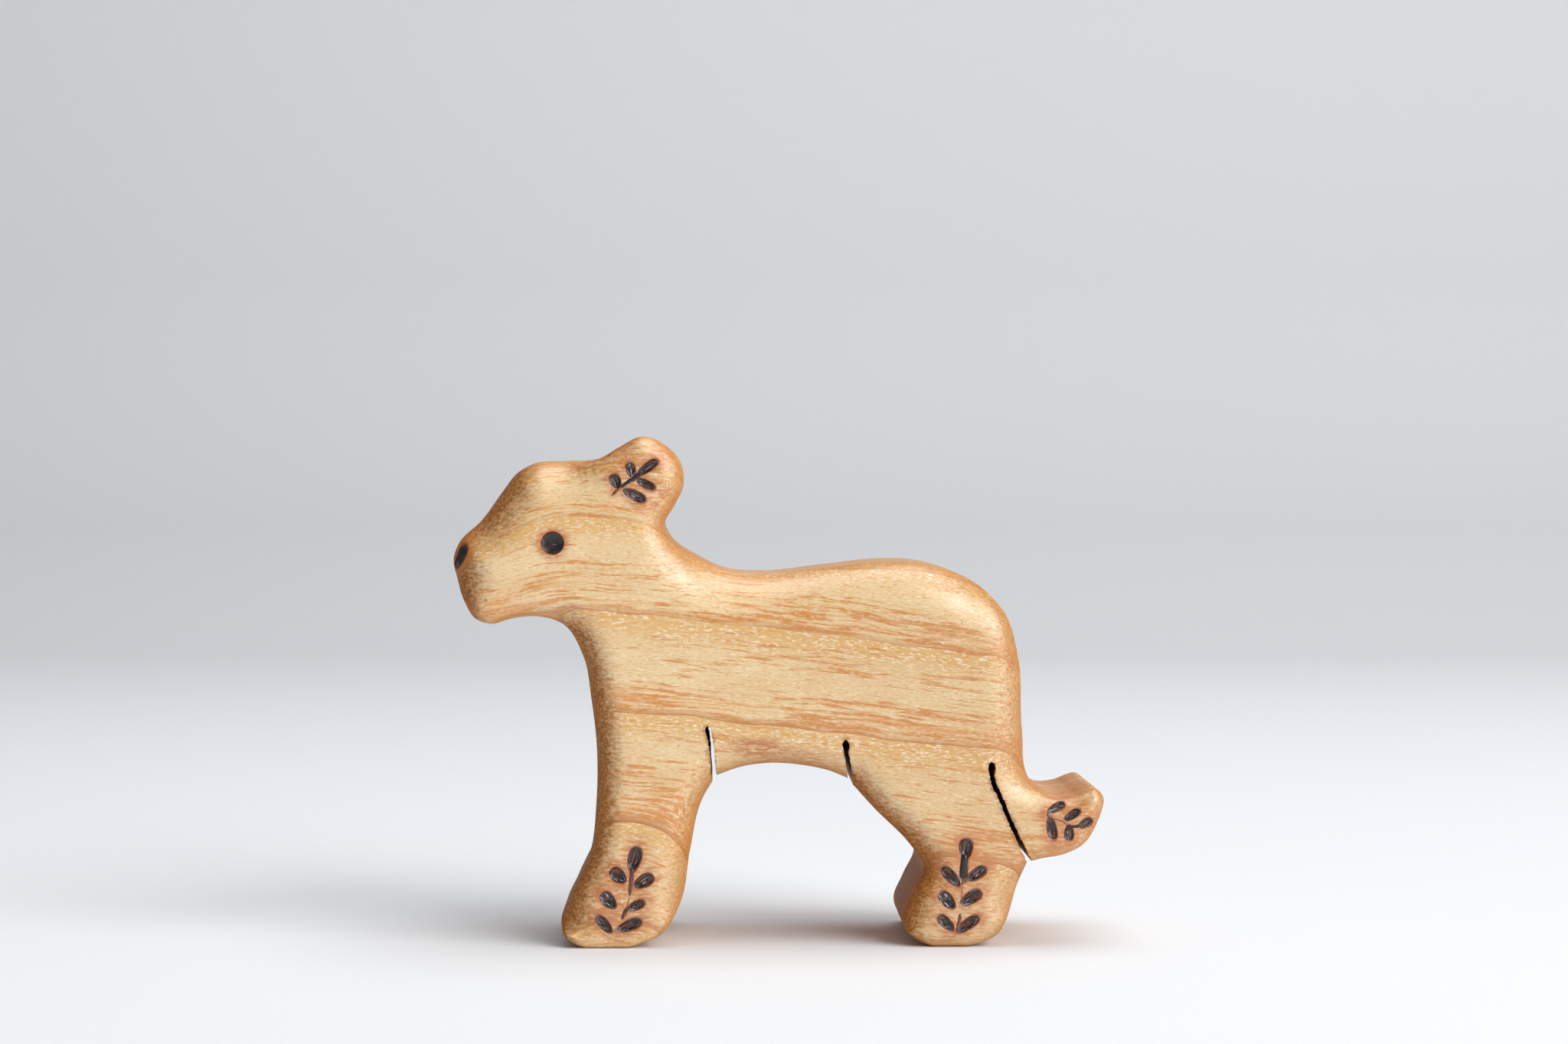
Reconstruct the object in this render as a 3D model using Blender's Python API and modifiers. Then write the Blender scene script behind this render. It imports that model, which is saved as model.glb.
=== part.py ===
"""A small wooden lion cub, sawn from one board and decorated with a hot burning iron.

The cub stands on the floor plane with its head towards -X and its visible side towards -Y.
Its body is one board: a sawn outline, edges sanded round by different amounts, and three thin
saw cuts that part the legs from the belly and the tail from the leg. The eyes, the nostrils
and the leaf sprigs are layers of charred wood, each in the shallow hollow that the iron left.
"""

import math

import bmesh
import bpy
import numpy as np
from mathutils import Matrix, Vector
from mathutils.geometry import delaunay_2d_cdt

MM = 0.001

# The board and the figure, in millimetres
FIGURE_LENGTH = 66.8
FIGURE_HEIGHT = 52.3
BOARD_THICKNESS = 22.0

# How far the sanded edge reaches in from the outline, region by region
BACK_ROUND = 5.3
HEAD_ROUND = 5.0
NOSE_ROUND = 4.6
EAR_ROUND = 2.4
EAR_ROOT_ROUND = 3.0
RUMP_ROUND = 3.6
CHEST_ROUND = 3.4
CHIN_ROUND = 2.7
LEG_ROUND = 3.3
FORE_PAW_ROUND = 1.3
HIND_PAW_ROUND = 2.0
BELLY_ROUND = 2.7
TAIL_ROUND = 1.9
# The depth of a rounded edge into the board, for each millimetre of its reach
ROUND_DEPTH = 0.8

# The saw cuts
KERF_WIDTH = 0.5
KERF_END_DIAMETER = 0.8

# The burnt marks
EYE_DIAMETER = 2.2
EYE_CHAR_DEPTH = 0.7
NOSTRIL_LENGTH = 2.3
NOSTRIL_WIDTH = 0.8
NOSTRIL_CHAR_DEPTH = 0.85
LEAF_CHAR_DEPTH = 0.45
STEM_WIDTH = 0.5
STALK_WIDTH = 0.34
CHAR_CLEARANCE = 0.05

# How finely the forms are divided
OUTLINE_STEP = 4.0
OUTLINE_TURN = math.radians(14)
ROUND_STEPS = 4
FACE_GRID = 2.4
ROW_KEPT_FROM = 0.96
FLAT_WITHIN = 0.002
LEAF_SEGMENTS = 10
EYE_SEGMENTS = 16
DAB_RINGS = 4
KERF_END_SEGMENTS = 12
SHARP_ANGLE = math.radians(40)
# The slope of the surface is read over this length
SLOPE_SAMPLE = 0.05
# Points that are one point, in metres: on the middle plane, and where a tube's cap meets its wall
MIRROR_MERGE = 0.00001
CAP_MERGE = 0.0000001
# Points of the layout closer than this, in millimetres, are one point
LAYOUT_MERGE = 0.000001

# The outline as drawn on the board, (x, z) in millimetres, clockwise from the cut before the
# foreleg. Soles are drawn a little below the floor plane, where they are sanded flat.
FORELEG_BACK = ((-6.3, 17.5), (-7.72, 15.08), (-8.97, 9.9), (-9.95, 4.5))
FORE_SOLE = (
    (-11.2, 2.2), (-12.2, 1.15), (-13.25, 0.7), (-14.75, 0.15),
    (-17.4, -0.3), (-20.1, 0.1), (-21.35, 0.75), (-21.95, 1.5),
)
FORELEG_FRONT = ((-22.2, 2.2), (-21.05, 5.5), (-19.3, 9.4), (-18.6, 14.8))
CHEST = ((-18.55, 20.3), (-19.1, 25.3), (-19.95, 29.8), (-22.0, 33.05))
CHIN = ((-24.6, 33.85), (-27.2, 33.65), (-29.4, 33.1), (-30.9, 33.6), (-32.05, 35.35))
NOSE = ((-32.95, 37.9), (-33.3, 39.6), (-32.7, 41.4))
HEAD = ((-30.48, 43.6), (-28.1, 46.85), (-26.8, 48.5), (-24.9, 49.55), (-21.5, 49.8))
EAR = ((-18.1, 50.1), (-16.3, 51.15), (-13.7, 52.3), (-11.75, 51.55), (-10.1, 49.7), (-9.8, 47.25))
EAR_ROOT = ((-10.78, 45.05), (-11.75, 43.2), (-11.1, 41.8))
NECK = ((-8.4, 39.9), (-5.05, 38.4))
BACK = ((-2.1, 38.15), (5.3, 38.85), (11.2, 39.45), (14.95, 39.3), (18.0, 38.45), (20.95, 36.85))
RUMP = ((23.4, 34.15), (24.85, 29.3), (25.2, 22.3), (26.15, 16.8))
TAIL = (
    (28.0, 15.35), (30.3, 15.4), (32.0, 15.85), (33.05, 15.95),
    (33.5, 15.1), (33.4, 14.1), (32.9, 12.8), (31.45, 10.5),
)
TAIL_ROOT = ((29.3, 9.4), (27.1, 9.0), (25.6, 8.6))
HIND_LEG_BACK = ((24.65, 6.15), (24.1, 4.25))
HIND_SOLE = (
    (23.3, 2.3), (22.6, 1.25), (21.65, 0.65), (20.2, 0.15),
    (17.7, -0.3), (15.5, 0.1), (14.05, 0.8), (13.2, 1.55),
)
HIND_LEG_FRONT = ((12.85, 2.75), (13.85, 5.35), (15.0, 8.3), (13.9, 10.03), (9.85, 14.2), (7.1, 17.25))
BELLY = ((5.3, 18.0), (2.7, 18.55), (-0.9, 18.8), (-3.6, 18.45))

# Each run of the outline is smooth, and sharp corners lie only where two runs meet
FORE_RUN = (
    (LEG_ROUND, FORELEG_BACK),
    (FORE_PAW_ROUND, FORE_SOLE),
    (LEG_ROUND, FORELEG_FRONT),
    (CHEST_ROUND, CHEST),
    (CHIN_ROUND, CHIN),
    (NOSE_ROUND, NOSE),
    (HEAD_ROUND, HEAD),
    (EAR_ROUND, EAR),
    (EAR_ROOT_ROUND, EAR_ROOT),
    (BACK_ROUND, NECK + BACK),
    (RUMP_ROUND, RUMP),
    (TAIL_ROUND, TAIL + TAIL_ROOT),
)
HIND_RUN = (
    (TAIL_ROUND, TAIL_ROOT[-1:]),
    (LEG_ROUND, HIND_LEG_BACK),
    (HIND_PAW_ROUND, HIND_SOLE),
    (LEG_ROUND, HIND_LEG_FRONT),
)
BELLY_RUN = (
    (LEG_ROUND, HIND_LEG_FRONT[-1:]),
    (BELLY_ROUND, BELLY),
    (LEG_ROUND, FORELEG_BACK[:1]),
)

# The saw cuts, from the blind end out through the edge
KERFS = {
    "foreleg_kerf": ((-7.2, 22.7), (-6.7, 20.0), (-6.55, 17.9), (-6.3, 15.5)),
    "hind_leg_kerf": ((6.9, 21.3), (7.0, 19.8), (7.3, 18.3), (7.6, 15.5)),
    "tail_kerf": ((21.9, 19.0), (22.0, 17.1), (22.7, 15.5), (23.65, 13.2), (25.6, 9.1), (26.9, 6.4)),
}
EYE_PLACE = (-22.95, 41.4)
NOSTRIL_PLACE = (-32.4, 40.0)
NOSTRIL_TILT = 66

# Each sprig has a stem, and leaves given by their middle, length, width and the tilt of their
# outer end in degrees from +X. A leaf's own stalk joins the stem nearest to the leaf's inner end.
EAR_SPRIG = {
    "stem": ((-16.4, 46.75), (-15.3, 47.55), (-14.2, 48.3), (-13.3, 49.1)),
    "leaves": (
        (-13.3, 49.1, 2.25, 0.82, 37),
        (-15.0, 48.82, 1.45, 0.85, 105),
        (-16.56, 47.67, 1.5, 1.0, 116),
        (-13.52, 47.44, 1.9, 0.7, -27),
        (-14.66, 46.28, 2.3, 0.92, -27),
    ),
}
FORE_PAW_SPRIG = {
    "stem": ((-14.75, 8.6), (-15.05, 6.4), (-15.4, 4.6), (-15.9, 2.3)),
    "leaves": (
        (-14.66, 9.13, 2.5, 1.2, 76),
        (-16.33, 7.48, 1.8, 1.25, 136),
        (-13.72, 6.9, 2.05, 1.18, 30),
        (-17.3, 4.95, 1.85, 1.2, 132),
        (-14.48, 4.44, 1.65, 0.83, 26),
        (-17.75, 2.5, 2.0, 0.95, 133),
        (-15.18, 2.4, 2.4, 1.0, 22),
    ),
}
HIND_PAW_SPRIG = {
    "stem": ((19.15, 9.8), (18.95, 7.4), (18.7, 4.4), (18.35, 1.7)),
    "leaves": (
        (19.2, 10.15, 1.95, 1.25, 88),
        (17.66, 7.27, 2.35, 1.03, 133),
        (20.3, 7.58, 2.05, 1.0, 35),
        (17.29, 4.87, 1.95, 1.17, 132),
        (19.7, 5.12, 2.25, 1.12, 33),
        (17.17, 2.54, 1.95, 0.95, 137),
        (19.37, 2.4, 2.5, 0.95, 36),
    ),
}
TAIL_SPRIG = {
    "stem": ((27.7, 13.7), (29.3, 12.7), (30.8, 12.45), (31.4, 12.7)),
    "leaves": (
        (31.47, 12.73, 1.4, 0.8, 30),
        (28.44, 14.3, 1.75, 0.7, 26),
        (30.07, 13.57, 1.7, 0.7, 34),
        (27.98, 12.23, 2.15, 0.88, -79),
        (29.76, 11.75, 1.45, 0.85, -90),
    ),
}
SPRIGS = {
    "ear_sprig": EAR_SPRIG,
    "fore_paw_sprig": FORE_PAW_SPRIG,
    "hind_paw_sprig": HIND_PAW_SPRIG,
    "tail_sprig": TAIL_SPRIG,
}
# The visible side of the cub is its left, towards -Y
SIDES = {"left": -1, "right": 1}

WOOD_COLOUR = (0.70, 0.43, 0.21, 1.0)
CHAR_COLOUR = (0.020, 0.013, 0.012, 1.0)
WOOD_ROUGHNESS = 0.5
CHAR_ROUGHNESS = 0.3


def drawn_extent():
    """The outline's first x, its length and its height as drawn."""
    drawn = np.array([point for run in (FORE_RUN, HIND_RUN) for _, part in run for point in part])
    left, right = drawn[:, 0].min(), drawn[:, 0].max()
    return left, right - left, drawn[:, 1].max()


DRAWN_LEFT, DRAWN_LENGTH, DRAWN_HEIGHT = drawn_extent()
LENGTH_SCALE = FIGURE_LENGTH / DRAWN_LENGTH
HEIGHT_SCALE = FIGURE_HEIGHT / DRAWN_HEIGHT
LEAF_SCALE = math.sqrt(LENGTH_SCALE * HEIGHT_SCALE)


def placed(point):
    """A drawn (x, z) on the figure at its real size, with the origin under its middle."""
    middle = DRAWN_LEFT + DRAWN_LENGTH / 2
    return (point[0] - middle) * LENGTH_SCALE, point[1] * HEIGHT_SCALE


def smooth_line(knots, step, turn):
    """Points on a smooth line through the knots, no further apart than the step or the turn allows."""
    knots = np.array(knots, float)
    gaps = np.linalg.norm(np.diff(knots[:, :2], axis=0), axis=1)
    slopes = np.diff(knots, axis=0) / gaps[:, None]
    weights = gaps[1:, None] / (gaps[:-1] + gaps[1:])[:, None]
    inner = weights * slopes[:-1] + (1 - weights) * slopes[1:]
    tangents = np.vstack([slopes[:1], inner, slopes[-1:]])
    points = []
    for index, gap in enumerate(gaps):
        start, end = knots[index], knots[index + 1]
        leave, arrive = tangents[index] * gap, tangents[index + 1] * gap
        bend = Vector(leave[:2]).angle(Vector(arrive[:2]))
        count = max(math.ceil(gap / step), math.ceil(bend / turn))
        for part in range(count):
            t = part / count
            points.append(
                (2 * t**3 - 3 * t**2 + 1) * start
                + (t**3 - 2 * t**2 + t) * leave
                + (3 * t**2 - 2 * t**3) * end
                + (t**3 - t**2) * arrive
            )
    points.append(knots[-1])
    return np.array(points)


def outline_points(step, turn):
    """Rows of x, z and edge round along the whole outline, clockwise, with the soles sanded flat."""
    rows = []
    for run in (FORE_RUN, HIND_RUN, BELLY_RUN):
        knots = [(*placed(point), reach) for reach, part in run for point in part]
        rows.append(smooth_line(knots, step, turn)[:-1])
    rows = np.vstack(rows)
    rows[:, 1] = np.maximum(rows[:, 1], 0)
    return rows


def inward_normals(points):
    """Unit directions into the figure, one for each point of a clockwise outline."""
    along = np.roll(points, -1, axis=0) - np.roll(points, 1, axis=0)
    along /= np.linalg.norm(along, axis=1)[:, None]
    return np.column_stack([along[:, 1], -along[:, 0]])


def edge_share(points, outline):
    """How far in from the outline each (x, z) lies, as a share of the round there, and that round."""
    start, along = outline[:, :2], np.roll(outline, -1, axis=0) - outline
    offsets = np.asarray(points)[:, None, :] - start[None, :, :]
    part = (offsets * along[:, :2]).sum(axis=2) / (along[:, :2] ** 2).sum(axis=1)
    part = np.clip(part, 0, 1)
    distance = np.linalg.norm(offsets - part[:, :, None] * along[:, :2], axis=2)
    reach = outline[:, 2] + part * along[:, 2]
    nearest = (distance / reach).argmin(axis=1)
    rows = np.arange(len(nearest))
    return distance[rows, nearest] / reach[rows, nearest], reach[rows, nearest]


def half_thickness(points, outline):
    """How far the figure reaches to each side of its middle plane, at each (x, z)."""
    share, reach = edge_share(points, outline)
    curve = np.sqrt(1 - (1 - np.minimum(share, 1)) ** 2)
    return BOARD_THICKNESS / 2 - reach * ROUND_DEPTH * (1 - curve)


def face_layout(outline, steps):
    """The points and edges that the near face is triangulated from: rows that follow its outline."""
    ring = outline[:, :2]
    inward = inward_normals(ring)
    points = [tuple(point) for point in ring]
    edges = [(index, (index + 1) % len(ring)) for index in range(len(ring))]
    for row in range(1, steps + 1):
        share = 1 - math.cos(math.pi / 2 * row / steps)
        inset = ring + inward * (outline[:, 2] * share)[:, None]
        kept = edge_share(inset, outline)[0] > share * ROW_KEPT_FROM
        number = {}
        for index in np.flatnonzero(kept):
            number[index] = len(points)
            points.append(tuple(inset[index]))
        for index in number:
            following = (index + 1) % len(ring)
            if following in number:
                edges.append((number[index], number[following]))
    return points + between_rows(points, outline), edges


def between_rows(points, outline):
    """Points of a grid where the surface still curves and the rows leave a gap."""
    points = np.array(points)
    low, high = points.min(axis=0), points.max(axis=0)
    across = np.arange(low[0], high[0], FACE_GRID)
    up = np.arange(low[1], high[1], FACE_GRID)
    grid = np.array([(x, z) for x in across for z in up])
    curved = half_thickness(grid, outline) < BOARD_THICKNESS / 2 - FLAT_WITHIN
    grid = grid[curved & inside(grid, points[: len(outline)])]
    gaps = np.linalg.norm(grid[:, None, :] - points[None, :, :], axis=2).min(axis=1)
    return [tuple(point) for point in grid[gaps > FACE_GRID / 2]]


def inside(points, ring):
    """Which points lie inside the closed ring, by counting its crossings to their right."""
    start, end = ring, np.roll(ring, -1, axis=0)
    x, z = points[:, 0, None], points[:, 1, None]
    rise = end[:, 1] - start[:, 1]
    crosses = (start[:, 1] > z) != (end[:, 1] > z)
    reach = start[:, 0] + (z - start[:, 1]) / np.where(rise == 0, 1, rise) * (end[:, 0] - start[:, 0])
    return (crosses & (reach > x)).sum(axis=1) % 2 == 1


def half_board_mesh(name, outline, steps):
    """The near half of the board, open at the middle plane."""
    points, edges = face_layout(outline, steps)
    flat, _, faces, *_ = delaunay_2d_cdt([Vector(point) for point in points], edges, [], 1, LAYOUT_MERGE)
    reach = half_thickness([tuple(point) for point in flat], outline)
    half = bmesh.new()
    corners = [
        half.verts.new((point.x * MM, -depth * MM, point.y * MM)) for point, depth in zip(flat, reach)
    ]
    for face in faces:
        half.faces.new([corners[index] for index in face])
    bmesh.ops.recalc_face_normals(half, faces=half.faces)
    half.faces.ensure_lookup_table()
    if sum(face.normal.y * face.calc_area() for face in half.faces) > 0:
        bmesh.ops.reverse_faces(half, faces=half.faces)
    rim = [edge for edge in half.edges if edge.is_boundary]
    wall = bmesh.ops.extrude_edge_only(half, edges=rim)["geom"]
    for vertex in (item for item in wall if isinstance(item, bmesh.types.BMVert)):
        vertex.co.y = 0
    mesh = bpy.data.meshes.new(name)
    half.to_mesh(mesh)
    half.free()
    mesh.shade_smooth()
    mesh.set_sharp_from_angle(angle=SHARP_ANGLE)
    return mesh


def material(name, colour, roughness):
    made = bpy.data.materials.new(name)
    made.use_nodes = True
    shader = made.node_tree.nodes["Principled BSDF"]
    shader.inputs["Base Color"].default_value = colour
    shader.inputs["Roughness"].default_value = roughness
    shader.inputs["Metallic"].default_value = 0.0
    return made


def collection(name):
    made = bpy.data.collections.new(name)
    bpy.context.scene.collection.children.link(made)
    return made


def add_object(name, mesh, group, finish=None):
    made = bpy.data.objects.new(name, mesh)
    group.objects.link(made)
    if finish is None:
        made.hide_render = True
        made.display_type = "WIRE"
    else:
        mesh.materials.append(finish)
    return made


def add_board(name, mesh, group, finish=None):
    """The board from its near half: a mirror across the middle plane makes the far one."""
    board = add_object(name, mesh, group, finish)
    mirror = board.modifiers.new("far half", "MIRROR")
    mirror.use_axis = (False, True, False)
    mirror.merge_threshold = MIRROR_MERGE
    return board


def add_boolean(target, other, operation):
    """A Boolean modifier. The other is an object, or a collection of them."""
    boolean = target.modifiers.new(f"{operation.lower()} {other.name}", "BOOLEAN")
    boolean.operation = operation
    boolean.solver = "EXACT"
    boolean.use_self = True
    if isinstance(other, bpy.types.Collection):
        boolean.operand_type = "COLLECTION"
        boolean.collection = other
    else:
        boolean.object = other
    return boolean


def add_kerf(name, path, group):
    """A saw cut right through the board: a slot along the path, with a wider blind end."""
    line = smooth_line([placed(point) for point in path], OUTLINE_STEP, OUTLINE_TURN)
    along = np.gradient(line, axis=0)
    along /= np.linalg.norm(along, axis=1)[:, None]
    across = np.column_stack([-along[:, 1], along[:, 0]]) * KERF_WIDTH / 2
    loop = np.vstack([line + across, (line - across)[::-1]])
    slot = bmesh.new()
    face = slot.faces.new([slot.verts.new((x * MM, -BOARD_THICKNESS * MM, z * MM)) for x, z in loop])
    raised = bmesh.ops.extrude_face_region(slot, geom=[face])["geom"]
    moved = [item for item in raised if isinstance(item, bmesh.types.BMVert)]
    bmesh.ops.translate(slot, vec=(0, 2 * BOARD_THICKNESS * MM, 0), verts=moved)
    turn = Matrix.Translation((line[0][0] * MM, 0, line[0][1] * MM)) @ Matrix.Rotation(math.pi / 2, 4, "X")
    bmesh.ops.create_cone(
        slot,
        cap_ends=True,
        segments=KERF_END_SEGMENTS,
        radius1=KERF_END_DIAMETER / 2 * MM,
        radius2=KERF_END_DIAMETER / 2 * MM,
        depth=2 * BOARD_THICKNESS * MM,
        matrix=turn,
    )
    bmesh.ops.recalc_face_normals(slot, faces=slot.faces)
    mesh = bpy.data.meshes.new(name)
    slot.to_mesh(mesh)
    slot.free()
    return add_object(name, mesh, group)


def surface_frame(place, side, tilt, outline):
    """A frame on the surface: x along the mark, y across it, z out of the wood."""
    x, z = placed(place)
    samples = half_thickness([(x, z), (x + SLOPE_SAMPLE, z), (x, z + SLOPE_SAMPLE)], outline)
    slope_x, slope_z = (samples[1:] - samples[0]) / SLOPE_SAMPLE
    out = Vector((-slope_x, side, -slope_z)).normalized()
    along = Vector((math.cos(math.radians(tilt)), 0, math.sin(math.radians(tilt))))
    along = (along - along.dot(out) * out).normalized()
    across = out.cross(along)
    frame = Matrix((along, across, out)).transposed().to_4x4()
    frame.translation = Vector((x, side * samples[0], z)) * MM
    return frame


def add_blob(shape, frame, length, width, depth, segments):
    """A burnt dab: an ellipsoid whose middle plane lies on the wood's surface."""
    size = Matrix.Diagonal((length / 2 * MM, width / 2 * MM, depth * MM, 1))
    bmesh.ops.create_uvsphere(
        shape, u_segments=segments, v_segments=DAB_RINGS, radius=1, matrix=frame @ size
    )


def add_tube(shape, points, width):
    """A burnt line: a round tube along the points, closed at its ends."""
    curve = bpy.data.curves.new("line", "CURVE")
    curve.dimensions = "3D"
    curve.bevel_depth = width / 2 * MM
    curve.bevel_resolution = 0
    curve.use_fill_caps = True
    spline = curve.splines.new("POLY")
    spline.points.add(len(points) - 1)
    for item, point in zip(spline.points, points):
        item.co = (*point, 1)
    holder = bpy.data.objects.new("line", curve)
    mesh = bpy.data.meshes.new_from_object(holder)
    shape.from_mesh(mesh)
    bpy.data.objects.remove(holder)
    bpy.data.curves.remove(curve)
    bpy.data.meshes.remove(mesh)


def sprig_shape(sprig, side, outline, grow):
    """Leaves, their stalks and the stem they spring from, as overlapping closed shapes."""
    shape = bmesh.new()
    stem = smooth_line([placed(point) for point in sprig["stem"]], OUTLINE_STEP, OUTLINE_TURN)
    depth = half_thickness(stem, outline)
    path = [Vector((x, side * reach, z)) * MM for (x, z), reach in zip(stem, depth)]
    add_tube(shape, path, STEM_WIDTH + 2 * grow)
    for x, z, length, width, tilt in sprig["leaves"]:
        frame = surface_frame((x, z), side, tilt, outline)
        add_blob(
            shape,
            frame,
            length * LEAF_SCALE + 2 * grow,
            width * LEAF_SCALE + 2 * grow,
            LEAF_CHAR_DEPTH + grow,
            LEAF_SEGMENTS,
        )
        inner_end = frame @ Vector((-length * LEAF_SCALE / 2 * MM, 0, 0))
        root = min(path, key=lambda point: (point - inner_end).length)
        add_tube(shape, [root, frame.translation], STALK_WIDTH + 2 * grow)
    bmesh.ops.remove_doubles(shape, verts=shape.verts, dist=CAP_MERGE)
    bmesh.ops.recalc_face_normals(shape, faces=shape.faces)
    return shape


def eye_shape(side, outline, grow):
    shape = bmesh.new()
    across = EYE_DIAMETER + 2 * grow
    frame = surface_frame(EYE_PLACE, side, 0, outline)
    add_blob(shape, frame, across, across, EYE_CHAR_DEPTH + grow, EYE_SEGMENTS)
    return shape


def nostril_shape(side, outline, grow):
    shape = bmesh.new()
    frame = surface_frame(NOSTRIL_PLACE, side, NOSTRIL_TILT, outline)
    length, width = NOSTRIL_LENGTH + 2 * grow, NOSTRIL_WIDTH + 2 * grow
    add_blob(shape, frame, length, width, NOSTRIL_CHAR_DEPTH + grow, LEAF_SEGMENTS)
    return shape


def mark_shapes(side, outline, grow):
    """Every burnt mark of one side by name, each grown all round by the same amount."""
    shapes = {"eye": eye_shape(side, outline, grow), "nostril": nostril_shape(side, outline, grow)}
    for name, sprig in SPRIGS.items():
        shapes[name] = sprig_shape(sprig, side, outline, grow)
    return shapes


def add_shape(name, shape, group, finish=None):
    mesh = bpy.data.meshes.new(name)
    shape.to_mesh(mesh)
    shape.free()
    mesh.shade_smooth()
    mesh.set_sharp_from_angle(angle=SHARP_ANGLE)
    return add_object(name, mesh, group, finish)


def build():
    for old in list(bpy.data.objects):
        bpy.data.objects.remove(old)
    parts = collection("lion_cub")
    cutters = collection("cutters")
    kerfs = collection("kerf_cutters")
    hollows = collection("hollow_cutters")
    wood = material("oiled_cherry_wood", WOOD_COLOUR, WOOD_ROUGHNESS)
    char = material("charred_wood", CHAR_COLOUR, CHAR_ROUGHNESS)

    outline = outline_points(OUTLINE_STEP, OUTLINE_TURN)
    half = half_board_mesh("cub_body", outline, ROUND_STEPS)
    blank = add_board("uncut_board", half.copy(), cutters)
    body = add_board("cub_body", half, parts, wood)
    for name, path in KERFS.items():
        add_kerf(name, path, kerfs)
    for side_name, side in SIDES.items():
        for name, shape in mark_shapes(side, outline, CHAR_CLEARANCE).items():
            add_shape(f"{name}_{side_name}_hollow", shape, hollows)
        for name, shape in mark_shapes(side, outline, 0).items():
            mark = add_shape(f"{name}_{side_name}", shape, parts, char)
            add_boolean(mark, blank, "INTERSECT")
    add_boolean(body, kerfs, "DIFFERENCE")
    add_boolean(body, hollows, "DIFFERENCE")


build()
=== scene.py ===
# %% [markdown]
# # A lion cub sawn from one board
# The object is a small wooden cub. Its maker drew an outline on a cherry-like board, sawed it
# out, sanded every long edge round, and burnt the eyes, nostrils and leaf sprigs in with a hot
# iron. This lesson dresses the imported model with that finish: a dense body with the grain of
# the board running through it, and glossy charred marks pressed into its surface.

# %% Load the fixed frame
import math

import bmesh
import bpy
import numpy as np
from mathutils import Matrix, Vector
from mathutils.geometry import delaunay_2d_cdt


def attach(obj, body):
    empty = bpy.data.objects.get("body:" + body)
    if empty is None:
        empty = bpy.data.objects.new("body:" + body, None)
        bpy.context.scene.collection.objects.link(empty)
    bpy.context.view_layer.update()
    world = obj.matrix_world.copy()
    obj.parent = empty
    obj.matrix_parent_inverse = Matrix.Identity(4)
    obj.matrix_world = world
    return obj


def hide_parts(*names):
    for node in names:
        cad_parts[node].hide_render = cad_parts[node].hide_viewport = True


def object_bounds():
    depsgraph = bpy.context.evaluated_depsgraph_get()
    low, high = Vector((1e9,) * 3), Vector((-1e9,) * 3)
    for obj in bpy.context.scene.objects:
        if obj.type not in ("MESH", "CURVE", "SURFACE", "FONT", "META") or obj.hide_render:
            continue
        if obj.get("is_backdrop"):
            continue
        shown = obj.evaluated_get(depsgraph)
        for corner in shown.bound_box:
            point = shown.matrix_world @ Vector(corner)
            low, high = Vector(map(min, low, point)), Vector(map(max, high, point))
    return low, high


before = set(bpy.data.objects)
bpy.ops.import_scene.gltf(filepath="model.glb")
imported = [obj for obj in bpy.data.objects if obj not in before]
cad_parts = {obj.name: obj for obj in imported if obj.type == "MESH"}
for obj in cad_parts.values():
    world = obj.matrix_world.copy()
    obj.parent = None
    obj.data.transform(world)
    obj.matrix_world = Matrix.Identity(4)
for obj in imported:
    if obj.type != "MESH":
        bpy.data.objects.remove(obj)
cad_low, cad_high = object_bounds()
print("nodes in the frame:", len(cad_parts))

# %% [markdown]
# ## The outline
# A sawn figure is an outline and a board. The outline below is the maker's pencil line, in
# millimetres, region by region, with the width of the sanded edge beside each region. A wide
# round makes the soft back, a narrow one the crisp paws.

# %% The pencil line on the board
MM = 0.001

FORELEG_BACK = ((-6.3, 17.5), (-7.72, 15.08), (-8.97, 9.9), (-9.95, 4.5))
FORE_SOLE = (
    *((-11.2, 2.2), (-12.2, 1.15), (-13.25, 0.7), (-14.75, 0.15)),
    *((-17.4, -0.3), (-20.1, 0.1), (-21.35, 0.75), (-21.95, 1.5)),
)
FORELEG_FRONT = ((-22.2, 2.2), (-21.05, 5.5), (-19.3, 9.4), (-18.6, 14.8))
CHEST = ((-18.55, 20.3), (-19.1, 25.3), (-19.95, 29.8), (-22.0, 33.05))
CHIN = ((-24.6, 33.85), (-27.2, 33.65), (-29.4, 33.1), (-30.9, 33.6), (-32.05, 35.35))
NOSE = ((-32.95, 37.9), (-33.3, 39.6), (-32.7, 41.4))
HEAD = ((-30.48, 43.6), (-28.1, 46.85), (-26.8, 48.5), (-24.9, 49.55), (-21.5, 49.8))
EAR = ((-18.1, 50.1), (-16.3, 51.15), (-13.7, 52.3), (-11.75, 51.55), (-10.1, 49.7), (-9.8, 47.25))
EAR_ROOT = ((-10.78, 45.05), (-11.75, 43.2), (-11.1, 41.8))
NECK = ((-8.4, 39.9), (-5.05, 38.4))
BACK = ((-2.1, 38.15), (5.3, 38.85), (11.2, 39.45), (14.95, 39.3), (18.0, 38.45), (20.95, 36.85))
RUMP = ((23.4, 34.15), (24.85, 29.3), (25.2, 22.3), (26.15, 16.8))
TAIL = (
    *((28.0, 15.35), (30.3, 15.45), (31.6, 15.95), (32.6, 16.15), (33.2, 15.75)),
    *((33.5, 15.0), (33.35, 14.1), (32.9, 12.85), (31.45, 10.5)),
)
TAIL_ROOT = ((29.3, 9.4), (27.1, 9.0), (25.6, 8.6))
HIND_LEG_BACK = ((24.65, 6.15), (24.1, 4.25))
HIND_SOLE = (
    *((23.3, 2.3), (22.6, 1.25), (21.65, 0.65), (20.2, 0.15)),
    *((17.7, -0.3), (15.5, 0.1), (14.05, 0.8), (13.2, 1.55)),
)
HIND_LEG_FRONT = ((12.85, 2.75), (13.85, 5.35), (15.0, 8.3), (13.9, 10.03), (9.85, 14.2), (7.1, 17.25))
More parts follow.
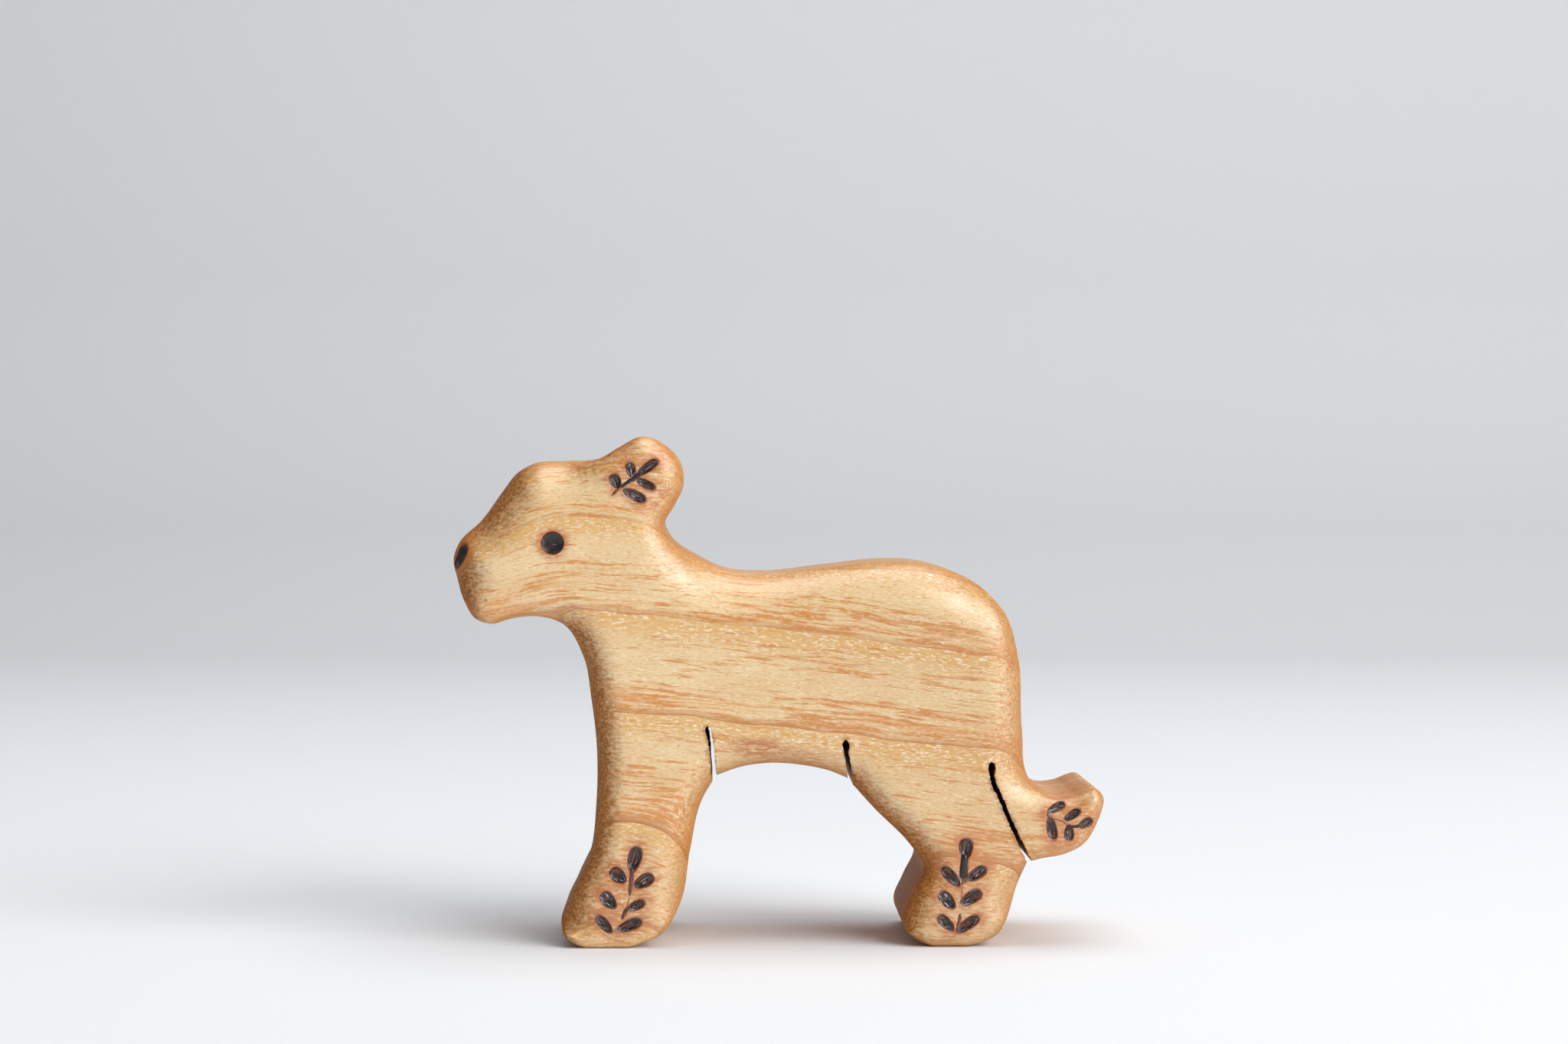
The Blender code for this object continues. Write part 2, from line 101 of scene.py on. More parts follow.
BELLY = ((5.3, 18.0), (2.7, 18.55), (-0.9, 18.8), (-3.6, 18.45))

FORE_RUN = (
    (3.3, FORELEG_BACK),
    (1.3, FORE_SOLE),
    (3.3, FORELEG_FRONT),
    (3.4, CHEST),
    (2.7, CHIN),
    (4.6, NOSE),
    (5.0, HEAD),
    (2.4, EAR),
    (3.0, EAR_ROOT),
    (5.3, NECK + BACK),
    (3.6, RUMP),
    (1.9, TAIL + TAIL_ROOT),
)
HIND_RUN = (
    (1.9, TAIL_ROOT[-1:]),
    (3.3, HIND_LEG_BACK),
    (2.0, HIND_SOLE),
    (3.3, HIND_LEG_FRONT),
)
BELLY_RUN = (
    (3.3, HIND_LEG_FRONT[-1:]),
    (2.7, BELLY),
    (3.3, FORELEG_BACK[:1]),
)
RUNS = (FORE_RUN, HIND_RUN, BELLY_RUN)
print("regions of the pencil line:", sum(len(run) for run in RUNS))

# %% [markdown]
# The pencil line is fitted to the frame: the drawing's own width and height are set against the
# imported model's box, so both stay one size. A smooth line then goes through the knots, with a
# point wherever it has run a short step or turned by a small angle.

# %% A smooth line at the frame's size
drawn = np.array([point for run in RUNS for _, region in run for point in region])
DRAWN_LEFT, DRAWN_RIGHT, DRAWN_TOP = drawn[:, 0].min(), drawn[:, 0].max(), drawn[:, 1].max()
LENGTH_SCALE = (cad_high.x - cad_low.x) / MM / (DRAWN_RIGHT - DRAWN_LEFT)
HEIGHT_SCALE = (cad_high.z - cad_low.z) / MM / DRAWN_TOP
HALF_BOARD = (cad_high.y - cad_low.y) / MM / 2


def placed(point):
    """A drawn (x, z) in the frame, in millimetres."""
    return (point[0] - (DRAWN_LEFT + DRAWN_RIGHT) / 2) * LENGTH_SCALE, point[1] * HEIGHT_SCALE


def smooth_line(knots, step, turn):
    """Points on a smooth line through the knots, no further apart than the step or turn allows."""
    knots = np.array(knots, float)
    gaps = np.linalg.norm(np.diff(knots[:, :2], axis=0), axis=1)
    slopes = np.diff(knots, axis=0) / gaps[:, None]
    weights = gaps[1:, None] / (gaps[:-1] + gaps[1:])[:, None]
    inner = weights * slopes[:-1] + (1 - weights) * slopes[1:]
    tangents = np.vstack([slopes[:1], inner, slopes[-1:]])
    points = []
    for index, gap in enumerate(gaps):
        leave, arrive = tangents[index] * gap, tangents[index + 1] * gap
        bend = Vector(leave[:2]).angle(Vector(arrive[:2]))
        count = max(math.ceil(gap / step), math.ceil(bend / turn))
        for part in range(count):
            t = part / count
            points.append(
                (2 * t**3 - 3 * t**2 + 1) * knots[index]
                + (t**3 - 2 * t**2 + t) * leave
                + (3 * t**2 - 2 * t**3) * knots[index + 1]
                + (t**3 - t**2) * arrive
            )
    points.append(knots[-1])
    return np.array(points)


def run_along(line):
    """How far along a line each of its points lies."""
    return np.append(0, np.cumsum(np.linalg.norm(np.diff(line, axis=0), axis=1)))


OUTLINE_STEP = 0.45
OUTLINE_TURN = math.radians(4)


def outline_points():
    """Rows of x, z and edge round along the whole outline, clockwise, with the soles sanded flat."""
    rows = []
    for run in RUNS:
        knots = [(*placed(point), reach) for reach, region in run for point in region]
        rows.append(smooth_line(knots, OUTLINE_STEP, OUTLINE_TURN)[:-1])
    rows = np.vstack(rows)
    rows[:, 1] = np.maximum(rows[:, 1], 0)
    return rows


outline = outline_points()
print("outline points:", len(outline))

# %% [markdown]
# ## The sanded round
# Sanding takes the corner of the board down to a quarter of an ellipse. How far in a spot lies,
# as a share of the round there, says how much wood is gone. Taking the nearest edge by that
# share, and not by plain distance, lets a wide round run smoothly into a narrow one.

# %% How thick the figure is at a spot
# A round's depth, as a share of its width
ROUND_DEPTH = 0.8
CHUNK = 1500


def in_chunks(points):
    """The points a part at a time, so that a table of distances stays small."""
    return np.array_split(np.asarray(points), len(points) // CHUNK + 1)


def to_sides(points, loop):
    """Each (x, z)'s distance to every side of a closed line, and how far along the side that is."""
    along = np.roll(loop, -1, axis=0) - loop
    offsets = points[:, None, :] - loop[None, :, :]
    part = np.clip((offsets * along).sum(axis=2) / (along**2).sum(axis=1), 0, 1)
    return np.linalg.norm(offsets - part[:, :, None] * along, axis=2), part


def edge_share(points):
    """How far in from the outline each (x, z) lies, as a share of the round there, and that round."""
    rounds = outline[:, 2]
    widening = np.roll(rounds, -1) - rounds
    shares, reaches = [], []
    for chunk in in_chunks(points):
        distance, part = to_sides(chunk, outline[:, :2])
        reach = rounds + part * widening
        nearest = (distance / reach).argmin(axis=1)
        rows = np.arange(len(chunk))
        shares.append(distance[rows, nearest] / reach[rows, nearest])
        reaches.append(reach[rows, nearest])
    return np.concatenate(shares), np.concatenate(reaches)


def half_thickness(points):
    """How far the wood reaches to each side of the board's middle plane, at each (x, z)."""
    share, reach = edge_share(points)
    curve = np.sqrt(1 - (1 - np.minimum(share, 1)) ** 2)
    return HALF_BOARD - reach * ROUND_DEPTH * (1 - curve)


print("half the board under the back, mm:", half_thickness([placed((10.0, 30.0))]))

# %% [markdown]
# ## The burnt drawing
# A leaf is one dab of the iron's shader tip: a drop, pointed where its stalk begins. A stroke
# is a pull of the tip's edge. Both are written down once, where they lie on the near side, and
# everything that depends on them follows: the hollows, the scorched halos and the char itself.

# %% Dabs and strokes, in millimetres
# A dab is x, z, length, width and the tilt of its outer end in degrees. A stroke is a list of
# points, its half width at each end, and how dark it is burnt, from 0 to 1.
EYE = (-22.95, 41.4, 2.2, 2.2, 0)
NOSTRIL = (-32.4, 40.0, 2.3, 0.8, 66)
SPRIGS = {
    "ear_sprig": {
        "dabs": (
            (-13.3, 49.1, 2.25, 0.82, 37),
            (-15.0, 48.82, 1.45, 0.85, 105),
            (-16.56, 47.67, 1.5, 1.0, 116),
            (-13.52, 47.44, 1.9, 0.7, -27),
            (-14.66, 46.28, 2.3, 0.92, -27),
        ),
        "strokes": (
            (((-16.0, 47.1), (-15.3, 47.6), (-14.6, 48.05), (-13.9, 48.55)), 0.14, 0.25, 0.85),
            (((-16.9, 46.3), (-16.5, 46.65), (-16.2, 47.0)), 0.16, 0.12, 0.45),
        ),
    },
    "fore_paw_sprig": {
        "dabs": (
            (-14.66, 9.13, 2.5, 1.2, 76),
            (-16.33, 7.48, 1.8, 1.25, 136),
            (-13.72, 6.9, 2.05, 1.18, 30),
            (-17.3, 4.95, 1.85, 1.2, 132),
            (-14.48, 4.44, 1.65, 0.83, 26),
            (-17.75, 2.5, 2.0, 0.95, 133),
            (-15.18, 2.4, 2.4, 1.0, 22),
        ),
        "strokes": (
            (((-14.83, 8.2), (-14.98, 6.95), (-15.14, 5.45)), 0.24, 0.15, 0.5),
            (((-15.1, 4.3), (-15.6, 3.8), (-15.9, 3.05)), 0.2, 0.17, 0.55),
            (((-15.14, 5.45), (-15.25, 4.8), (-15.6, 3.8)), 0.07, 0.07, 0.2),
        ),
    },
    "hind_paw_sprig": {
        "dabs": (
            (19.2, 10.15, 1.95, 1.25, 88),
            (17.66, 7.27, 2.35, 1.03, 133),
            (20.3, 7.58, 2.05, 1.0, 35),
            (17.29, 4.87, 1.95, 1.17, 132),
            (19.7, 5.12, 2.25, 1.12, 33),
            (17.17, 2.54, 1.95, 0.95, 137),
            (19.37, 2.4, 2.5, 0.95, 36),
        ),
        "strokes": (
            (((19.1, 9.6), (19.0, 8.4), (18.95, 7.1)), 0.3, 0.42, 0.95),
            (((18.9, 7.0), (18.8, 5.6), (18.7, 4.6)), 0.08, 0.05, 0.25),
            (((18.65, 3.5), (18.5, 2.5), (18.34, 1.6)), 0.14, 0.22, 0.4),
        ),
    },
    "tail_sprig": {
        "dabs": (
            (31.47, 12.73, 1.4, 0.8, 30),
            (28.44, 14.3, 1.75, 0.7, 26),
            (30.07, 13.57, 1.7, 0.7, 34),
            (27.98, 12.23, 2.15, 0.88, -79),
            (29.76, 11.75, 1.45, 0.85, -90),
        ),
        "strokes": (
            (((31.1, 12.55), (30.4, 12.4), (29.6, 12.5)), 0.18, 0.12, 0.75),
            (((27.6, 14.0), (27.6, 13.5), (28.3, 13.2), (29.2, 12.9), (29.6, 12.6)), 0.08, 0.07, 0.35),
        ),
    },
}
LEAF_FORM = (0.18, 2.25)
ROUND_FORM = (0.0, 2.0)
STROKE_STEP = 0.2
STROKE_TURN = math.radians(10)


def dab_form(dab):
    """How much a dab widens outwards, and how blunt its ends are: 2 is an ellipse."""
    return ROUND_FORM if dab[2] == dab[3] else LEAF_FORM


def dab_level(points, dab):
    """0 in the middle of a dab, 1 on its edge, at each (x, z) in the frame."""
    x, z = placed(dab[:2])
    length, width, tilt = dab[2], dab[3], math.radians(dab[4])
    taper, blunt = dab_form(dab)
    offset = points - (x, z)
    along = (offset[:, 0] * math.cos(tilt) + offset[:, 1] * math.sin(tilt)) / (length / 2)
    across = (offset[:, 1] * math.cos(tilt) - offset[:, 0] * math.sin(tilt)) / (width / 2)
    across = across / (1 + taper * np.clip(along, -1, 1))
    return (np.abs(along) ** blunt + np.abs(across) ** blunt) ** (1 / blunt)


def stroke_rows(stroke):
    """Rows of x, z and half width along a stroke."""
    path, first, last, _ = stroke
    line = smooth_line([placed(point) for point in path], STROKE_STEP, STROKE_TURN)
    run = run_along(line)
    return np.column_stack([line, first + (last - first) * run / run[-1]])


DABS = [EYE, NOSTRIL] + [dab for sprig in SPRIGS.values() for dab in sprig["dabs"]]
STROKES = [stroke for sprig in SPRIGS.values() for stroke in sprig["strokes"]]
print("dabs:", len(DABS), "strokes:", len(STROKES))

# %% [markdown]
# The hot iron leaves two things in the wood around the char. It presses a hollow with a soft
# shoulder, and it browns the wood beyond the edge. Both are read from the distance to the
# drawing, so one function gives them for any spot on the board.

# %% Hollow and scorch at a spot
HOLLOW_DEPTH = 0.32
STROKE_HOLLOW_DEPTH = 0.16
SHOULDER = 0.09
SCORCH_REACH = 0.6


def smooth_step(low, high, value):
    t = np.clip((value - low) / (high - low), 0, 1)
    return t * t * (3 - 2 * t)


def burnt_wood(points):
    """The depth of the hollow and the strength of the scorch, at each (x, z)."""
    hollow, scorch = np.zeros(len(points)), np.zeros(len(points))
    for dab in DABS:
        outside = (dab_level(points, dab) - 1) * dab[3] / 2
        hollow = np.maximum(hollow, HOLLOW_DEPTH * smooth_step(SHOULDER, -SHOULDER, outside))
        scorch = np.maximum(scorch, np.exp(-np.maximum(outside, 0) / SCORCH_REACH))
    for stroke in STROKES:
        rows, dark = stroke_rows(stroke), stroke[3]
        gaps = np.linalg.norm(points[:, None, :] - rows[None, :, :2], axis=2) - rows[:, 2]
        outside = gaps.min(axis=1)
        deep = STROKE_HOLLOW_DEPTH * dark
        hollow = np.maximum(hollow, deep * smooth_step(SHOULDER, -SHOULDER, outside))
        scorch = np.maximum(scorch, dark * np.exp(-np.maximum(outside, 0) / SCORCH_REACH))
    return hollow, scorch


print("hollow and scorch in the eye:", burnt_wood(np.array([placed(EYE[:2])])))

# %% [markdown]
# The iron presses square to the surface. Where a mark lies on a round, as the nostril does, its
# hollow is deeper when measured straight through the board.

# %% How much deeper a hollow is on a slope
SLOPE_STEP = 0.05


def steepness(points):
    """The length of one millimetre square to the surface, measured along y."""
    slopes = [
        (half_thickness(points + step) - half_thickness(points - step)) / (2 * SLOPE_STEP)
        for step in (np.array((SLOPE_STEP, 0)), np.array((0, SLOPE_STEP)))
    ]
    return np.sqrt(1 + slopes[0] ** 2 + slopes[1] ** 2)


print("how much deeper at the nostril:", steepness(np.array([placed(NOSTRIL[:2])])))

# %% [markdown]
# ## The saw cuts
# Three cuts part the legs from the belly and the tail from the leg. The blade leaves walls that
# wander a little, and a wider burnt spot where the maker turned it to back out.

# %% The slots that the blade took out
KERFS = {
    "foreleg": ((-7.2, 22.7), (-6.7, 20.0), (-6.55, 17.9), (-6.3, 15.5)),
    "hind_leg": ((6.9, 21.3), (7.0, 19.8), (7.3, 18.3), (7.6, 15.5)),
    "tail": ((21.9, 19.0), (22.0, 17.1), (22.7, 15.5), (23.65, 13.2), (25.6, 9.1), (26.9, 6.4)),
}
KERF_WIDTH = 0.5
KERF_WANDER = 0.035
BLIND_END = {"foreleg": 0.06, "hind_leg": 0.16, "tail": 0.14}
BLIND_END_RUN = 1.1
BLIND_END_SPREAD = 0.2
# A slot's very end opens in a round over this length, starting at this share of it
TIP_RUN, TIP_SHARE = 0.25, 0.15
KERF_STEP = 0.22
KERF_TURN = math.radians(8)
rng = np.random.default_rng(7)


def kerf_loop(name):
    """The outline of one slot, its blind end rounded, its walls a little uneven."""
    line = smooth_line([placed(point) for point in KERFS[name]], KERF_STEP, KERF_TURN)
    along = np.gradient(line, axis=0)
    along /= np.linalg.norm(along, axis=1)[:, None]
    normal = np.column_stack([-along[:, 1], along[:, 0]])
    run = run_along(line)
    bulge = np.exp(-((run - BLIND_END_RUN / 2) ** 2) / BLIND_END_SPREAD)
    half = KERF_WIDTH / 2 + BLIND_END[name] * bulge
    half *= np.sqrt(np.clip(run / TIP_RUN, TIP_SHARE, 1))
    left = half + rng.normal(0, KERF_WANDER, len(line))
    right = half + rng.normal(0, KERF_WANDER, len(line))
    return np.vstack([line + normal * left[:, None], (line - normal * right[:, None])[::-1]])


kerf_loops = [kerf_loop(name) for name in KERFS]
print("points round the slots:", [len(loop) for loop in kerf_loops])

# %% [markdown]
# ## The body
# Seen from the side the body is a height field: every spot of the outline's inside has one
# thickness. So it is drawn flat, as points in rows that follow the edge, rings round each mark
# and a loose grid between, then triangulated, lifted to its thickness and mirrored.

# %% Points and edges of the flat drawing
ROUND_STEPS = 11
ROW_KEPT_FROM = 0.97
FACE_GRID = 0.8
FINE_GRID = 0.22
FINE_MARGIN = 1.6
MARK_RINGS = (1.5, 1.25, 1.1, 1.0, 0.9, 0.6)
RING_SEGMENTS = 28


def inside(points, ring):
    """Which points lie inside the closed ring, by counting its crossings to their right."""
    found = np.zeros(len(points), bool)
    for (x0, z0), (x1, z1) in zip(ring, np.roll(ring, -1, axis=0)):
        if z0 == z1:
            continue
        crosses = (z0 > points[:, 1]) != (z1 > points[:, 1])
        found ^= crosses & (x0 + (points[:, 1] - z0) / (z1 - z0) * (x1 - x0) > points[:, 0])
    return found


def edge_rows():
    """The outline and the rows inside it, each with the edges along it."""
    ring = outline[:, :2]
    along = np.roll(ring, -1, axis=0) - np.roll(ring, 1, axis=0)
    along /= np.linalg.norm(along, axis=1)[:, None]
    inward = np.column_stack([along[:, 1], -along[:, 0]])
    points = [tuple(point) for point in ring]
    edges = [(index, (index + 1) % len(ring)) for index in range(len(ring))]
    for row in range(1, ROUND_STEPS + 1):
        share = 1 - math.cos(math.pi / 2 * row / ROUND_STEPS)
        inset = ring + inward * (outline[:, 2] * share)[:, None]
        kept = np.flatnonzero(edge_share(inset)[0] > share * ROW_KEPT_FROM)
        points.extend(tuple(point) for point in inset[kept])
    return points, edges


def mark_rings():
    """Rings of points round every dab."""
    points = []
    turns = np.linspace(0, 2 * math.pi, RING_SEGMENTS, endpoint=False)
    for dab in DABS:
        x, z = placed(dab[:2])
        length, width, tilt = dab[2], dab[3], math.radians(dab[4])
        taper, blunt = dab_form(dab)
        ahead = np.sign(np.cos(turns)) * np.abs(np.cos(turns)) ** (2 / blunt)
        aside = np.sign(np.sin(turns)) * np.abs(np.sin(turns)) ** (2 / blunt)
        for level in MARK_RINGS:
            out = (level - 1) * width / 2
            along = ahead * (length / 2 + out)
            across = aside * (1 + taper * ahead) * (width / 2 + out)
            points.extend(
                zip(
                    x + along * math.cos(tilt) - across * math.sin(tilt),
                    z + along * math.sin(tilt) + across * math.cos(tilt),
                )
            )
    return points


print("points round the dabs:", len(mark_rings()))

# %% The loose grid, and all the points together
def grid(low, high, step):
    """Points in staggered rows over a box."""
    across = np.arange(low[0], high[0], step)
    up = np.arange(low[1], high[1], step)
    return np.array([(x + step / 2 * (row % 2), z) for row, z in enumerate(up) for x in across])


def far_from(points, others, gap):
    """The points that lie at least this far from all the others."""
    others = np.asarray(others)
    kept = []
    for chunk in in_chunks(points):
        near = np.linalg.norm(chunk[:, None, :] - others[None, :, :], axis=2).min(axis=1)
        kept.append(chunk[near > gap])
    return np.vstack(kept)


def flat_drawing():
    """All the points and edges that the near face is triangulated from."""
    points, edges = edge_rows()
    ring = outline[:, :2]
    for loop in kerf_loops:
        first = len(points)
        points.extend(tuple(point) for point in loop)
        edges.extend((first + i, first + (i + 1) % len(loop)) for i in range(len(loop)))
    marks = np.array(mark_rings())
    marks = marks[inside(marks, ring)]
    fine = []
    for sprig in SPRIGS.values():
        spots = np.array([placed(dab[:2]) for dab in sprig["dabs"]])
        low, high = spots.min(axis=0) - FINE_MARGIN, spots.max(axis=0) + FINE_MARGIN
        fine.append(grid(low, high, FINE_GRID))
    fine = np.vstack(fine)
    fine = far_from(fine[inside(fine, ring)], np.vstack([points, marks]), FINE_GRID / 2)
    coarse = grid(ring.min(axis=0), ring.max(axis=0), FACE_GRID)
    coarse = coarse[inside(coarse, ring)]
    coarse = far_from(coarse, np.vstack([points, marks, fine]), FACE_GRID / 2)
    for more in (marks, fine, coarse):
        points.extend(tuple(point) for point in more)
    return points, edges


flat_points, flat_edges = flat_drawing()
print("points in the drawing:", len(flat_points))

# %% Triangulate and lift
MERGE_WITHIN = 0.004

points_in = [Vector(point) for point in flat_points]
flat, _, faces, *_ = delaunay_2d_cdt(points_in, flat_edges, [], 0, MERGE_WITHIN)
flat = np.array([tuple(point) for point in flat])
faces = np.array([face for face in faces if len(face) == 3])
middles = flat[faces].mean(axis=1)
wooden = inside(middles, outline[:, :2])
for loop in kerf_loops:
    wooden &= ~inside(middles, loop)
faces = faces[wooden]
thickness = half_thickness(flat)
hollow, scorch = burnt_wood(flat)
pressed = hollow > 0
hollow[pressed] *= steepness(flat[pressed])
print("triangles of the near face:", len(faces))


def near_cut(points):
    """How far each (x, z) lies from the nearest saw cut's edge."""
    return np.min([to_sides(points, loop)[0].min(axis=1) for loop in kerf_loops], axis=0)


cut_gap = np.concatenate([near_cut(chunk) for chunk in in_chunks(flat)])
print("nearest point to a cut, mm:", cut_gap.min())

# %% The near face, its rim and the mirrored half
# How far from a cut its edge is torn, and how torn a rim's corners are that lie on one
CUT_EDGE = 0.15
ON_THE_CUT = 0.95
WELD = 1e-7
SHARP_FROM = math.radians(50)


def mesh_of(shape, name):
    """A bmesh as a mesh. The bmesh is freed."""
    mesh = bpy.data.meshes.new(name)
    shape.to_mesh(mesh)
    shape.free()
    return mesh


def in_scene(name, data):
    """A new object, linked to the scene."""
    made = bpy.data.objects.new(name, data)
    bpy.context.scene.collection.objects.link(made)
    return made


def board_mesh(name, reach):
    """The board from the lift of every point: the near face, its rim, and the mirrored half."""
    half = bmesh.new()
    scorched = half.verts.layers.float.new("scorch")
    torn = half.verts.layers.float.new("cut_edge")
    corners = []
    for (x, z), depth, burn, gap in zip(flat, reach, scorch, cut_gap):
        corner = half.verts.new((x * MM, -depth * MM, z * MM))
        corner[scorched] = burn
        corner[torn] = math.exp(-gap / CUT_EDGE)
        corners.append(corner)
    for face in faces:
        half.faces.new([corners[index] for index in face])
    loose = [corner for corner in corners if not corner.link_faces]
    bmesh.ops.delete(half, geom=loose, context="VERTS")
    bmesh.ops.recalc_face_normals(half, faces=half.faces)
    if sum(face.normal.y * face.calc_area() for face in half.faces) > 0:
        bmesh.ops.reverse_faces(half, faces=half.faces)
    rim = [edge for edge in half.edges if edge.is_boundary]
    wall = bmesh.ops.extrude_edge_only(half, edges=rim)["geom"]
    for item in wall:
        if isinstance(item, bmesh.types.BMVert):
            item.co.y = 0
            item[scorched] = 0
        elif isinstance(item, bmesh.types.BMFace):
            item.material_index = int(min(corner[torn] for corner in item.verts) > ON_THE_CUT)
    whole = half.copy()
    half.free()
    everything = whole.verts[:] + whole.edges[:] + whole.faces[:]
    bmesh.ops.mirror(whole, geom=everything, axis="Y", merge_dist=WELD)
    bmesh.ops.recalc_face_normals(whole, faces=whole.faces)
    mesh = mesh_of(whole, name)
    mesh.shade_smooth()
    mesh.set_sharp_from_angle(angle=SHARP_FROM)
    return mesh


sanded = board_mesh("sanded_board", thickness)
body = in_scene("cub_wood", board_mesh("cub_wood", thickness - hollow))
print("body triangles:", len(body.data.polygons))

# %% [markdown]
# ## Small tools for node trees
# Every material and the geometry tree below are written as code. One helper makes a node, sets
# its options and fills or wires its sockets, so that a whole tree reads like a recipe.

# %% Nodes and sums
def fill(tree, node, inputs):
    """Sets or wires a node's sockets, by name or number."""
    for name, value in inputs.items():
        if isinstance(value, bpy.types.NodeSocket):
            tree.links.new(value, node.inputs[name])
        else:
            node.inputs[name].default_value = value


def add(tree, kind, inputs=None, **options):
    """A new node: options are its properties, inputs its sockets."""
    made = tree.nodes.new(kind)
    for name, value in options.items():
        setattr(made, name, value)
    fill(tree, made, inputs or {})
    return made


def follow(kind, inputs, **options):
    """A new node in the tree that its first wired input comes from."""
    wired = (value for value in inputs.values() if isinstance(value, bpy.types.NodeSocket))
    return add(next(wired).id_data, kind, inputs, **options).outputs


def maths(operation, *values, **options):
    """The outcome of one Math node."""
    values = dict(enumerate(values))
    return follow("ShaderNodeMath", values, operation=operation, **options)[0]


def times(product, *others):
    """Two or more values multiplied together."""
    for other in others:
        product = maths("MULTIPLY", product, other)
    return product


def fade(value, low, high, out_low=0.0, out_high=1.0):
    """A soft step of a value from one level to another."""
    levels = {"Value": value, "From Min": low, "From Max": high, "To Min": out_low}
    levels["To Max"] = out_high
    return follow("ShaderNodeMapRange", levels, interpolation_type="SMOOTHSTEP")[0]


def vector(**parts):
    """A vector from its X, Y and Z. What isn't given is 0."""
    return follow("ShaderNodeCombineXYZ", parts)[0]


def apart(whole):
    """The X, Y and Z of a vector."""
    return follow("ShaderNodeSeparateXYZ", {0: whole})


def noise(values, stretch, detail=2.0, roughness=0.5):
    """Noise over three values, each multiplied by its part of the stretch."""
    x, y, z = (times(value, scale) for value, scale in zip(values, stretch))
    levels = {"Vector": vector(X=x, Y=y, Z=z), "Scale": 1.0}
    levels |= {"Detail": detail, "Roughness": roughness}
    return follow("ShaderNodeTexNoise", levels)["Fac"]


# %% Colours
def tint(factor, under, over, blend="MIX"):
    """One colour laid over another."""
    sockets = {0: factor, 6: under, 7: over}
    return follow("ShaderNodeMix", sockets, data_type="RGBA", blend_type=blend)[2]


def layered(shade, *layers):
    """A colour with others laid over it in turn, each given as its amount and itself."""
    for amount, over in layers:
        shade = tint(amount, shade, over)
    return shade


def attribute(tree, name):
    return add(tree, "ShaderNodeAttribute", attribute_name=name).outputs["Fac"]


def colour(code):
    """Six hex digits, as seen on a screen, in the light values that nodes use."""
    parts = [int(code[start : start + 2], 16) / 255 for start in (0, 2, 4)]
    return (*(p / 12.92 if p <= 0.04045 else ((p + 0.055) / 1.055) ** 2.4 for p in parts), 1.0)


print("a middle grey in light values:", round(colour("808080")[0], 3))

# %% Groups and materials
def group(name, kind, inputs, outputs):
    """An empty group with its named sockets, and its two end nodes."""
    tree = bpy.data.node_groups.new(name, kind)
    for label, socket, value in inputs:
        made = tree.interface.new_socket(label, in_out="INPUT", socket_type="NodeSocket" + socket)
        if value is not None:
            made.default_value = value
    for label, socket in outputs:
        tree.interface.new_socket(label, in_out="OUTPUT", socket_type="NodeSocket" + socket)
    return tree, tree.nodes.new("NodeGroupInput").outputs, tree.nodes.new("NodeGroupOutput").inputs


def new_material(name):
    """An empty material, its tree and its own shader."""
    made = bpy.data.materials.new(name)
    made.use_nodes = True
    return made, made.node_tree, made.node_tree.nodes["Principled BSDF"]


def millimetres(tree):
    """Where a spot lies on its piece, in millimetres."""
    place = add(tree, "ShaderNodeTexCoord").outputs["Object"]
    levels = {"Vector": place, "Scale": (1 / MM, 1 / MM, 1 / MM)}
    return follow("ShaderNodeMapping", levels)[0]


def raised(height, strength, distance):
    """The normals of a surface that a mask raises by up to a distance, in millimetres."""
    levels = {"Strength": strength, "Distance": distance * MM, "Height": height}
    return follow("ShaderNodeBump", levels)["Normal"]


print("materials before ours:", len(bpy.data.materials))

# %% [markdown]
# ## The grain of the board
# Growth rings are sheets, here tilted by about 42 degrees and running almost level along the
# board, so their edges draw long lines on the face and wrap down over every round. One number
# follows them: the ring height, z + 0.9 y with a slight fall along x. A ramp turns it into
# ring number and place in the ring. Vessels and fibres run along x only. Their noise is
# stretched that way, so the same pattern gives dashes on the face and specks on the end grain.

# %% The shader group for the grain
RING_LINES = (-8.0, 1.0, 11.0, 22.5, 32.5, 41.8, 47.8, 56.5, 65.0, 73.0, 82.0)
RING_STRENGTHS = (0.5, 0.5, 0.8, 1.0, 0.8, 0.5, 0.5, 0.6, 0.6, 0.5, 0.5)
RING_FALL = 0.113
RING_TILT = 0.9
# A fade runs from one x to another, between two amounts. Towards the nose the rings bend down
HEAD_BEND = (-20.0, -35.0, 0.0, 4.0)
# On the fore paw they arch about a middle, and on the hind paw they lie a little higher
ARCH_MIDDLE = -15.5
ARCH_RISE = (-8.0, -4.0, 0.05, 0.0)
HIND_LIFT = (8.0, 14.0, 0.0, 0.45)
# The paws begin between these two z. Down there the lines are darker, by this many times
PAW_TOP = (16.0, 12.0)
PAW_LINE = 2.2
# The rings sway slowly, and less so in quicker waves
SLOW_SWAY = (0.035, 0.07, 0.07)
QUICK_SWAY = (0.16, 0.3, 0.3)
QUICK_SHARE = 0.35
SWAY_REACH = 2.4
MASKS = ("Ring Line", "Late Wood", "Early Gold", "Dashes", "Flecks", "Pores", "Clouds", "Specks")

